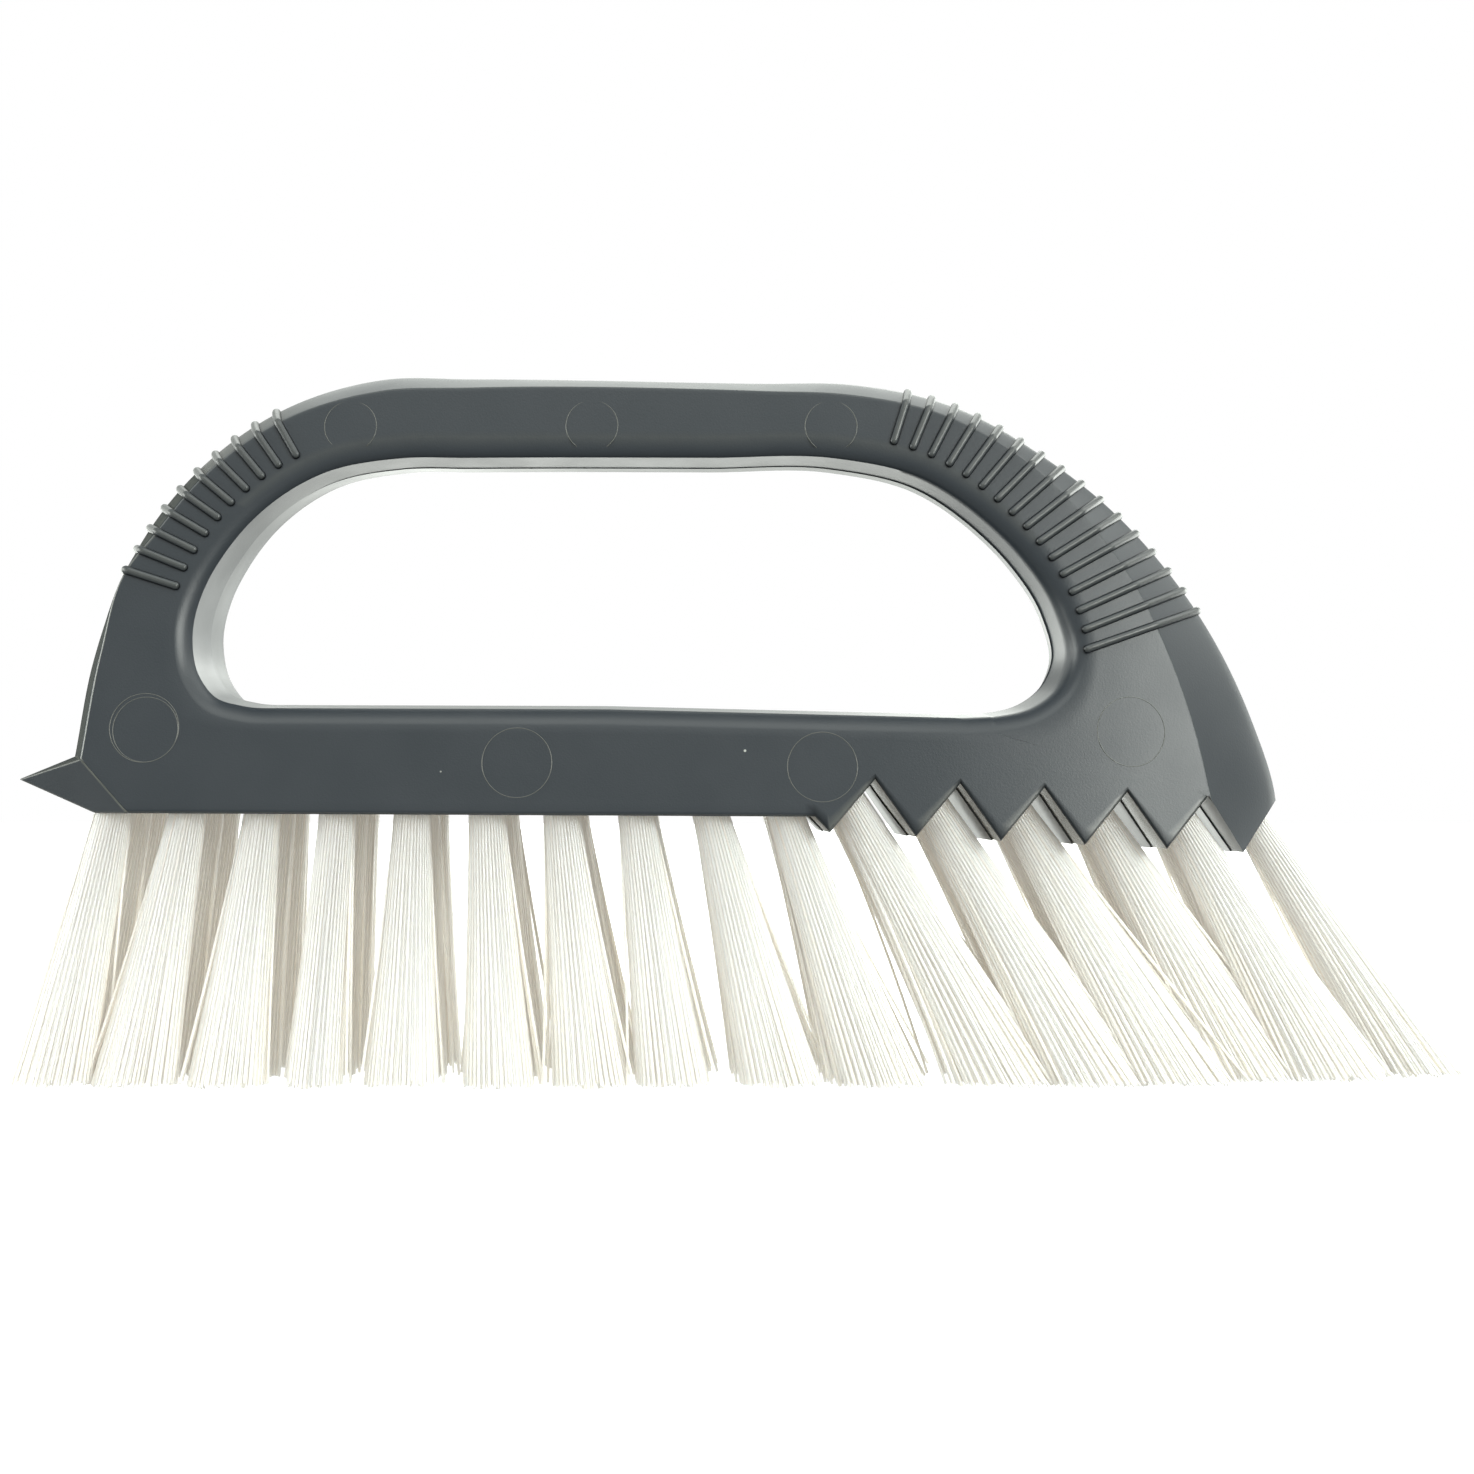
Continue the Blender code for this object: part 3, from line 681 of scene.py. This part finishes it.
def wear_and_painted_light(shape):
    """Wear and highlight, painted shade and dull of every point of a grid of that shape, each from 0 to 1.

    Wear and highlight lies on the crease, most on the left, partly wear and partly a painted
    highlight line, and on the grip's lip border, a painted highlight line. On the rounding of the
    flanks where the lower edge rises with x it is a painted light band. The other flanks are painted
    lighter on the near half and painted darker on the far half, for how light falls on them, and
    their rounding has painted shade. The rim on the left is worn and scuffed dull.
    """
    wear_and_highlight, painted_shade, dull = np.zeros(shape), np.zeros(shape), np.zeros(shape)
    first = len(rim_shares)
    teeth = STEPS * STATIONS + 1 + len(nose_x) + np.arange(1, len(teeth_x))
    rises = lower_edge(teeth_x[1:] - 1e-5) < lower_edge(teeth_x[1:] + 1e-5)
    bar = np.arange(STEPS * 4, STEPS * 12)
    lip_border = first + 7 + 2 * FACE_RINGS - 1
    left = np.arange(STEPS * 3)
    # the crease: partly wear, partly a painted highlight line, strongest on the left
    for ring in (first + 3, shape[0] - 1 - first - 3):
        wear_and_highlight[ring] = 0.5
        wear_and_highlight[ring - 2 : ring + 3, left] = 0.8
    scuffed = np.interp(np.arange(shape[1]), (STEPS * 4, STEPS * 5.6), (1.0, 0.0))
    scuffed[-END_STEPS + 1 :] = 1.0
    dull[:first] = dull[-first:] = scuffed
    wear_and_highlight[: first - 1] = wear_and_highlight[1 - first :] = 0.7 * scuffed
    near_flank, far_flank = np.arange(first)[:, None], shape[0] - 1 - np.arange(first)[:, None]
    # the falling flanks: painted lighter on the near half and painted shade on the far half, for how light
    # falls on them
    wear_and_highlight[near_flank, teeth[~rises]] = 0.9
    painted_shade[far_flank, teeth[~rises]] = 0.65
    # a painted highlight line on the lip's border over the bar
    wear_and_highlight[lip_border, bar] = 0.25
    # the flanks' rounding: a painted light band where the edge rises, painted shade where it falls
    for ring in range(first + 1, first + 7):
        wear_and_highlight[ring, teeth[rises]] = 0.7
        painted_shade[ring, teeth[~rises]] = 0.6
    return {"wear_and_highlight": wear_and_highlight, "painted_shade": painted_shade, "dull": dull}


points = body_points()
body = new_piece(
    "body_moulding", points, grid_faces(*points.shape[:2], True, True), body_plastic,
    sharp=26, numbers=wear_and_painted_light(points.shape[:2]),
)
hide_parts("body")
print("body:", len(body.data.vertices), "points")

# %% [markdown]
# ## Grip beads
# Ten beads on the left and sixteen on the right cross the rim. Each is a round bead with
# rounded ends, sunk to a little less than half, in a plane across the brush: straight over the
# face, then following the rim over the crest to the other face. Its top is a shade lighter, partly
# wear and partly a painted highlight, and its flanks and ends carry painted shade where the bead
# meets the face.

# %% Grip beads
RIB_DIAMETER, RIB_RISE = mm(1.25), mm(0.1)
BEAD_SIDES = 16
RIB_PITCH, RIB_END_PITCH = mm(3.62), mm(2.87)
RIB_END_GAP, RIB_END_RISE = mm(3.0), mm(1.0)  # from the opening's edge, at its sides, and more over it
RIB_ROWS = (  # first bead's crest and inner end, and the number of beads
    (mm((-90.9, 36.0), (-80.2, 32.5)), 10),
    (mm((24.0, 61.2), (21.5, 53.7)), 16),
)


def spaced(outline, start, pitch, count):
    """Points pitch apart along an outline, from its point nearest to start."""
    steps = np.diff(outline, axis=0)
    share = np.clip(((start - outline[:-1]) * steps).sum(1) / (steps**2).sum(1), 0, 1)
    near = outline[:-1] + share[:, None] * steps
    i = np.argmin(np.linalg.norm(near - start, axis=1))
    length = np.concatenate([[0], np.cumsum(np.linalg.norm(steps, axis=1))])
    at = length[i] + np.linalg.norm(near[i] - outline[i]) + pitch * np.arange(count)
    return np.column_stack([np.interp(at, length, outline[:, k]) for k in (0, 1)])


def crossing(outline, a, b):
    """Where the outline crosses the line from a to b, nearest to a."""
    side = (outline - a) @ np.array([-(b - a)[1], (b - a)[0]])
    i = np.nonzero(side[:-1] * side[1:] <= 0)[0]
    found = outline[i] + (outline[i + 1] - outline[i]) * (side[i] / (side[i] - side[i + 1]))[:, None]
    return found[np.argmin(np.linalg.norm(found - a, axis=1))]


def bead_path(crest, inner):
    """Over the near face from the inner end, then over the rim by the rim's formula, to the crest."""
    crease = crossing(crease_fine, crest, inner)
    t = np.linspace(0, 1, 14)[:-1, None]
    face = blend_to(inner, crease, t)
    face = np.column_stack([face, half_thickness(*face.T) + RIB_RISE])
    s = np.linspace(1, 0, 22)[:, None]
    rim = crease + (crest - crease) * (1 - s**RIM_POWER)
    rim = rim + (crest - crease) / np.linalg.norm(crest - crease) * RIB_RISE * (1 - s)
    rim = np.column_stack([rim, s * (half_thickness(*crease) + RIB_RISE)])
    half = np.vstack([face, rim])
    near = np.stack([half[:, 0], -half[:, 2], half[:, 1]], axis=1)
    return np.vstack([near, (near * (1, -1, 1))[-2::-1]])


def rounded_ends(path, radius, steps=5):
    """The path run on by a radius at both ends, with the radii that make each end a half ball."""
    angle = np.linspace(0, np.pi / 2, steps + 1)[1:]
    first = (path[0] - path[1]) / np.linalg.norm(path[0] - path[1])
    last = (path[-1] - path[-2]) / np.linalg.norm(path[-1] - path[-2])
    out = radius * np.sin(angle)[:, None]
    ends = np.maximum(radius * np.cos(angle), radius * 0.02)
    points = np.vstack([(path[0] + first * out)[::-1], path, path[-1] + last * out])
    return points, np.concatenate([ends[::-1], np.full(len(path), radius), ends])


hole, _, normal, _ = hole_rings()
inner_line = hole + normal * (RIB_END_GAP + RIB_END_RISE * normal[:, 1:])
paths, across, radii = [], [], None
for (start_crest, start_inner), count in RIB_ROWS:
    crests = spaced(crest_fine, raised(start_crest), RIB_PITCH, count)
    inners = spaced(inner_line, raised(start_inner), RIB_END_PITCH, count)
    for crest, inner in zip(crests, inners):
        path, radii = rounded_ends(bead_path(crest, inner), RIB_DIAMETER / 2)
        paths.append(path)
        line = (crest - inner) / np.linalg.norm(crest - inner)
        across.append((-line[1], 0, line[0]))
points, faces = sweep(np.array(paths), np.array(across), radii, BEAD_SIDES)
flank = np.abs(np.cos(np.arange(BEAD_SIDES) * 2 * np.pi / BEAD_SIDES))
flank = np.broadcast_to(flank, points.shape[:3])
tip = np.clip(2.2 - 3 * radii / radii.max(), 0, 1)[None, :, None]
# a lighter top, partly wear and partly a painted highlight; painted shade on the flanks and the rounded
# ends
new_piece(
    "grip_beads", points, faces, body_plastic, sharp=60,
    numbers={"wear_and_highlight": 0.55 * (1 - flank), "painted_shade": np.maximum(np.clip((flank - 0.72) / 0.22, 0, 1), tip)},
)
print("beads:", len(paths))

# %% [markdown]
# ## The scraper
# The left end is a wedge that ends in a straight edge, with a slanted facet on each side. Its
# corners lie close to those of the solid. The smallest closed form round them is the wedge, and
# a bevel takes the sharpness off its edges, which are a shade lighter and more polished: partly
# polish, partly a painted highlight along them. Its upper facets are worn dull.

# %% Scraper
SCRAPER_EDGE = (-0.1031, 0.0106, 0.0052)  # x, half its width, and height over BRISTLE_REACH
SCRAPER_ROOT = (-0.0914, 0.0142)  # x and half its width


def scraper_corners():
    """Its twelve corners: six on the far side, and their mirror images."""
    crease, crest = raised(CREASE[0]), raised(CREST[0])
    corner = np.array((CORNER_X, underside(CORNER_X)))
    inset = mm(-0.02)
    half = np.array([
        (*SCRAPER_EDGE[:2], BRISTLE_REACH + SCRAPER_EDGE[2]),
        (*SCRAPER_ROOT, underside(SCRAPER_ROOT[0])),
        (corner[0] + inset, half_thickness(*corner) - inset, corner[1] + inset),
        (crease[0] + 2 * inset, half_thickness(*crease) - inset, crease[1]),
        (crest[0] + mm(2.2), half_thickness(*crease) / 2, crest[1] - mm(0.2)),
        (corner[0], half_thickness(*crease) / 2, crest[1]),
    ])
    return np.vstack([half, half * (1, -1, 1)])


def wedge(name, corners, finish, edge_finish, bevel):
    """The smallest closed form round the corners, with bevelled edges in a finish of their own."""
    bm = bmesh.new()
    for corner in corners:
        bm.verts.new(corner)
    hull = bmesh.ops.convex_hull(bm, input=bm.verts)
    inside = [v for v in hull["geom_interior"] if isinstance(v, bmesh.types.BMVert)]
    bmesh.ops.delete(bm, geom=inside, context="VERTS")
    bmesh.ops.dissolve_limit(bm, angle_limit=math.radians(2), verts=bm.verts, edges=bm.edges)
    points = np.array([v.co for v in bm.verts])
    faces = [[v.index for v in f.verts] for f in bm.faces]
    bm.free()
    made = new_piece(name, points, faces, finish, sharp=180)
    on_top = [float(face.normal.z > 0.3) for face in made.data.polygons]
    for attribute, share in (("dull", 1.0), ("wear_and_highlight", 0.6)):
        values = [share * top for top in on_top]
        made.data.attributes.new(attribute, "FLOAT", "FACE").data.foreach_set("value", values)
    made.data.materials.append(edge_finish)
    modifier = made.modifiers.new("soft_edges", "BEVEL")
    modifier.material = 1
    modifier.width, modifier.segments, modifier.limit_method = bevel, 3, "ANGLE"
    modifier.angle_limit = math.radians(20)
    modifier.harden_normals = True
    return made


scraper = wedge("scraper", scraper_corners(), body_plastic, edge_plastic, mm(0.22))
print("scraper:", len(scraper.data.polygons), "facets")

# %% [markdown]
# ## Ejector marks
# Pins pushed the brush out of its mould, and each left a mark as fine as a hair on the near
# face: three small ones on the grip and four larger ones on the base. Each is one ring, but the
# one on the left of the base is a double ring. The rings are a shade lighter all round, a painted
# highlight along their edges.

# %% Ejector marks
MARKS = (  # centre x, z and radius in mm
    (-56.6, 94.4, 3.74), (-21.9, 94.5, 3.74), (12.5, 94.4, 3.74),
    (-84.4, 50.8, 4.86), (-84.22, 50.57, 4.58), (-32.0, 45.9, 4.9), (10.8, 45.3, 4.9), (55.0, 50.4, 4.98),
)
MARK_WIDTH = mm(0.13)
MARK_SUNK = mm(0.07)
MARK_POINTS = 72


def mark_path(x, z, radius):
    """A circle on the near face, a little sunk where it runs level. On the grip its foot is gone."""
    angle = np.arange(MARK_POINTS) * 2 * np.pi / MARK_POINTS
    plan_x, plan_z = mm(x) + mm(radius) * np.sin(angle), mm(z) + mm(radius) * np.cos(angle)
    foot = np.clip(-np.cos(angle) - 0.75, 0, 1)
    level = np.cos(angle) ** 2
    sunk = MARK_SUNK * (level + 70 * foot) if z > 80 else MARK_SUNK * 0.6 * level
    return np.column_stack([plan_x, sunk - half_thickness(plan_x, plan_z), plan_z])


points, faces = sweep(
    np.array([mark_path(*mark) for mark in MARKS]), np.tile((0.0, 1.0, 0.0), (len(MARKS), 1)),
    np.full(MARK_POINTS, MARK_WIDTH / 2), 8, closed=True,
)
# the rings' lighter colour is a painted highlight along their edges
new_piece(
    "ejector_marks", points, faces, body_plastic, sharp=60,
    numbers={"wear_and_highlight": np.full(points.shape[:3], 1.0)},
)
print("ejector rings:", len(MARKS))

# %% [markdown]
# ## Tufts of nylon
# A tuft is a bundle of filaments folded into a 5.2 mm hole. Packed round at its root, it fans
# out towards its tips. The width that each near tuft has at its tips was read from the
# photograph. The middle and far rows are hidden for the most part, and take the same widths.

# %% Tuft places
HOLE_DIAMETER = mm(5.2)
ROW_TO_FACE, ROW_CLOSING, CLOSEST_ROW = mm(4.9), mm(2.0), mm(5.3)
UNDERNEATH, LAST_MIDDLE = 10, 13
TIP_SPANS = mm(  # left and right end of the near row's tips, and last of the nose's tuft
    (-104.2, -92.5), (-92.5, -80.5), (-79.0, -68.0), (-65.0, -57.0), (-54.0, -43.5),
    (-40.0, -29.8), (-27.3, -16.4), (-15.5, -5.0), (-0.8, 11.0), (13.0, 25.6), (29.2, 44.0),
    (42.5, 57.5), (54.0, 69.0), (64.5, 80.5), (76.0, 92.5), (91.0, 106.0),
)
TIP_HALF_Y, CLOSE_TIP_Y = mm(4.6), mm(6.0)
FIRST_TUFT_X, LAST_TUFT_INSET = -0.0895, 0.0039  # the inset is from the underside's right end
FLANK_LEAN = math.radians(35)  # the tufts between the teeth leave their holes at this slant
FAR_SHIFT = mm(0.9)  # the far row's tips, seen between the near ones, lean further right


def tuft_places():
    """(node, root (x, y, z), way out, tip span in x, tip middle in y) of every tuft."""
    roots = [(x, underside(x)) for x in np.linspace(FIRST_TUFT_X, END_X - LAST_TUFT_INSET, UNDERNEATH)]
    flanks = tooth_tips + NOTCH / 2
    places = []
    outer = BASE_WIDTH / 2 - ROW_TO_FACE
    for number, (x, z) in enumerate([*roots, *flanks], 1):
        span = TIP_SPANS[number - 1]
        if number <= UNDERNEATH:
            way = np.array((span.mean() - x, 0.0, -z))
        else:
            way = np.array((math.sin(FLANK_LEAN), 0.0, -math.cos(FLANK_LEAN)))
        way = way / np.linalg.norm(way)
        row = max(CLOSEST_ROW, outer - ROW_CLOSING * max(0, number - UNDERNEATH - 1))
        tip_row = outer if number <= LAST_MIDDLE else CLOSE_TIP_Y
        if number == len(TIP_SPANS):
            places.append(("tuft_nose", (x, 0.0, z), way, span, 0.0))
            continue
        if number <= LAST_MIDDLE:
            places.append((f"tuft_middle_{number:02d}", (x, 0.0, z), way, span, 0.0))
        for side, name in ((-1, "front"), (1, "back")):
            reach = span + FAR_SHIFT * (side + 1) / 2
            places.append((f"tuft_{name}_{number:02d}", (x, side * row, z), way, reach, side * tip_row))
    return places


# %% [markdown]
# ## Filaments
# A tuft holds about a hundred filaments, and only the outer ones show over their length. So
# each tuft is made of four things: outer filaments side by side round it, inner ones of which
# only the ends are made, a few strays, and a closed sheaf just under the outer ones, which
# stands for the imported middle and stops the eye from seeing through. All come from one rule, a
# map from a unit disc: a place on the disc gives the filament's start in the hole and its tip in
# the spread bundle, and a curve with one bend joins the two. The outer places stand on a circle,
# every second one a little deeper from root to tip, which keeps the gaps between them straight.
# The inner ones follow a sunflower's pattern, radius ~ sqrt(k) and angle = k * golden angle.

# %% Filaments
FILAMENT_DIAMETER = mm(0.46)  # more than the real ones have, so that the picture can show them
OUTER, INNER, STRAYS = 76, 60, 3
SHEAF_COLUMNS, SHEAF_SHARE, SHEAF_END = 44, 0.965, 0.98
STEPS_DOWN = 8
SUNK = mm(2.0)  # so far the filaments and the sheaf run on into their hole
GOLDEN_ANGLE = math.pi * (3 - math.sqrt(5))
chance = np.random.default_rng(7)


def on_circle(count, radius):
    """Places evenly round a circle on the unit disc."""
    angle = np.arange(count) * 2 * np.pi / count
    return radius * np.column_stack([np.cos(angle), np.sin(angle)])


def lay(disc, tips_disc, tip_z, share, place):
    """Curves (place, step, xyz): (1-u)^2 start + 2u(1-u) middle + u^2 tip, for each u in share.

    The middle point lies half way out along the hole's axis, drawn two fifths of the way to the tip.
    """
    root, way, span, tip_y = place
    side = np.array((-way[2], 0.0, way[0]))
    packed = (HOLE_DIAMETER - FILAMENT_DIAMETER) / 2
    start = root + packed * (disc[:, :1] * side + disc[:, 1:] * np.array((0.0, 1.0, 0.0)))
    tips = np.column_stack([
        span.mean() + tips_disc[:, 0] * (np.ptp(span) - FILAMENT_DIAMETER) / 2,
        tip_y + tips_disc[:, 1] * TIP_HALF_Y,
        np.broadcast_to(tip_z, len(disc)),
    ])
    reach = np.linalg.norm(tips - start, axis=1)[:, None]
    middle = start + way * reach * 0.5 + (tips - start - way * reach) * 0.4
    u = share[None, :, None]
    return (1 - u) ** 2 * start[:, None] + 2 * u * (1 - u) * middle[:, None] + u**2 * tips[:, None]


def tuft(name, root, way, span, tip_y):
    """One piece: outer filaments, the ends of inner ones, a few strays, and the sheaf inside."""
    place = (np.array(root), way, span, tip_y)
    whole, ends = np.linspace(0, 1, STEPS_DOWN), np.linspace(0.8, 1, 3)
    jitter = chance.uniform(0.99, 1.02, (OUTER, 1))
    outer = on_circle(OUTER, 1) * np.where(np.arange(OUTER) % 2, 1.0, 0.96)[:, None]
    k = np.arange(INNER)
    inner = np.sqrt((k + 0.5) / INNER)[:, None] * 0.9
    inner = inner * np.column_stack([np.cos(k * GOLDEN_ANGLE), np.sin(k * GOLDEN_ANGLE)])
    lean = chance.normal(0, 0.3, STRAYS) + math.pi * chance.integers(0, 2, STRAYS)
    stray = np.column_stack([np.cos(lean), np.sin(lean)])
    base = chance.uniform(0, 0.4)
    parts = [
        (outer, outer * jitter + chance.normal(0, 0.006, (OUTER, 2)), whole),
        (inner, inner + chance.normal(0, 0.04, (INNER, 2)), ends),
        (stray, stray * chance.uniform(1.1, 1.4, (STRAYS, 1)), whole),
    ]
    points, faces, tints = [], [], []
    total = 0
    for disc, tips_disc, share in parts:
        tip_z = mm(1) * (base + np.abs(chance.normal(0, 0.4, len(disc))))
        line = lay(disc, tips_disc, tip_z, share, place)
        if share is whole:
            line = np.concatenate([line[:, :1] - way * SUNK, line], axis=1)
        count = line.shape[1]
        tube, quads = sweep(
            line, np.tile((0.0, 1.0, 0.0), (len(line), 1)), np.full(count, FILAMENT_DIAMETER / 2), 5
        )
        tint = np.broadcast_to((chance.random(len(disc)) ** 3)[:, None, None], tube.shape[:3])
        points.append(tube.reshape(-1, 3))
        faces += [[v + total for v in quad] for quad in quads]
        tints.append(tint.ravel())
        total += len(points[-1])
    ring = on_circle(SHEAF_COLUMNS, SHEAF_SHARE)
    share = np.linspace(0, SHEAF_END, STEPS_DOWN)
    sheaf = lay(ring, ring, mm(base), share, place).transpose(1, 0, 2)
    sheaf = np.concatenate([sheaf[:1] - way * SUNK, sheaf])
    quads = grid_faces(*sheaf.shape[:2], closed_columns=True).tolist()
    quads += [list(range(SHEAF_COLUMNS))[::-1], list(range(len(sheaf) * SHEAF_COLUMNS))[-SHEAF_COLUMNS:]]
    points.append(sheaf.reshape(-1, 3))
    faces += [[v + total for v in quad] for quad in quads]
    tints.append(np.full(len(points[-1]), 0.35))
    made = new_piece(
        name.replace("tuft", "filaments"), np.vstack(points), faces, filament_nylon,
        sharp=80, numbers={"tint": np.concatenate(tints)},
    )
    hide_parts(name)
    return made


tufts = [tuft(*place) for place in tuft_places()]
print("tufts:", len(tufts), "with", OUTER + INNER, "filaments each")

# %% [markdown]
# ## Floor
# A plain pale floor under the bristles' tips. It glows almost white by itself, as a paper sheet
# does that a studio lights fully, and the brush neither mirrors it nor is lit by it.

# %% Floor
FLOOR_REACH = 3.0


def pale_floor():
    made, _, shader = new_material("floor_paper_white")
    shader.inputs["Base Color"].default_value = linear("#f7f7f7")
    shader.inputs["Roughness"].default_value = 0.9
    shader.inputs["Emission Color"].default_value = (1, 1, 1, 1)
    shader.inputs["Emission Strength"].default_value = 0.97
    floor_mesh = bpy.data.meshes.new("floor")
    size = FLOOR_REACH
    floor_mesh.from_pydata(
        [(-size, -size, 0), (size, -size, 0), (size, size, 0), (-size, size, 0)], [], [(0, 1, 2, 3)]
    )
    floor_mesh.materials.append(made)
    floor = bpy.data.objects.new("floor", floor_mesh)
    bpy.context.scene.collection.objects.link(floor)
    floor.visible_glossy = floor.visible_diffuse = floor.visible_shadow = False
    return floor


floor = pale_floor()

# %% [markdown]
# ## Studio light
# How the brush was really lit isn't known. What its surfaces mirror is: the flat face mirrors
# the camera's own side and is dark, the bow mirrors something bright on the right, and the walls
# of the opening mirror bright places on the left, on the right and behind. So one sky does it
# all. Each lamp is a soft round patch of light, bright inside one angle and gone past another,
# and was fitted to the photograph. A grey room fills the space between them, and the
# camera itself sees plain white behind the brush.

# %% Light
LAMPS = (  # turn to the right from the camera's side, height, full to, gone at (degrees), strength
    (44, 18, 8, 17, 11.6),
    (28, 10, 8, 17, 0.7),
    (128, 6, 10, 24, 5.0),
    (90, 50, 16, 32, 2.2),
    (-86, 10, 12, 26, 7.3),
    (-118, 6, 14, 30, 1.3),
    (-163, 0, 6, 13, 4.4),
    (160, 4, 8, 20, 1.3),
    (166, 17, 6, 12, 3.0),
    (0, 55, 12, 26, 2.4),
    (180, 38, 12, 24, 1.5),
    (-170, -11, 5, 13, 2.2),
    (169, -11, 5, 13, 1.6),
    (180, -21, 5, 12, 2.4),
    (0, 90, 60, 120, 0.35),
)
ROOM = 0.5
LAMP_COLOUR = "#fbfff9"


def studio():
    """The sky: the room's grey plus each lamp's patch, by the angle between it and a direction."""
    world = bpy.data.worlds.new("studio")
    world.use_nodes = True
    tree = world.node_tree
    tree.nodes.clear()
    direction = add(tree, "ShaderNodeTexCoord").outputs["Generated"]
    total = None
    for turn, height, full, gone, strength in LAMPS:
        a, e = math.radians(turn), math.radians(height)
        centre = (math.sin(a) * math.cos(e), -math.cos(a) * math.cos(e), math.sin(e))
        dot = add(tree, "ShaderNodeVectorMath", {0: direction, 1: centre}, operation="DOT_PRODUCT")
        patch = add(
            tree, "ShaderNodeMapRange",
            {"Value": dot.outputs["Value"], "From Min": math.cos(math.radians(gone)),
             "From Max": math.cos(math.radians(full)), "To Min": 0.0, "To Max": strength},
            interpolation_type="SMOOTHSTEP",
        )
        sum_in = {0: patch.outputs["Result"], 1: total if total else ROOM}
        total = add(tree, "ShaderNodeMath", sum_in, operation="ADD").outputs["Value"]
    lamps = add(tree, "ShaderNodeBackground", {"Color": linear(LAMP_COLOUR), "Strength": total})
    backdrop = add(tree, "ShaderNodeBackground", {"Color": (1, 1, 1, 1), "Strength": 1.0})
    seen = add(tree, "ShaderNodeLightPath").outputs["Is Camera Ray"]
    both = add(tree, "ShaderNodeMixShader", {0: seen, 1: lamps.outputs[0], 2: backdrop.outputs[0]})
    add(tree, "ShaderNodeOutputWorld", {"Surface": both.outputs[0]})
    bpy.context.scene.world = world


studio()
bpy.context.scene.view_settings.view_transform = "Standard"
print("lamps:", len(LAMPS))
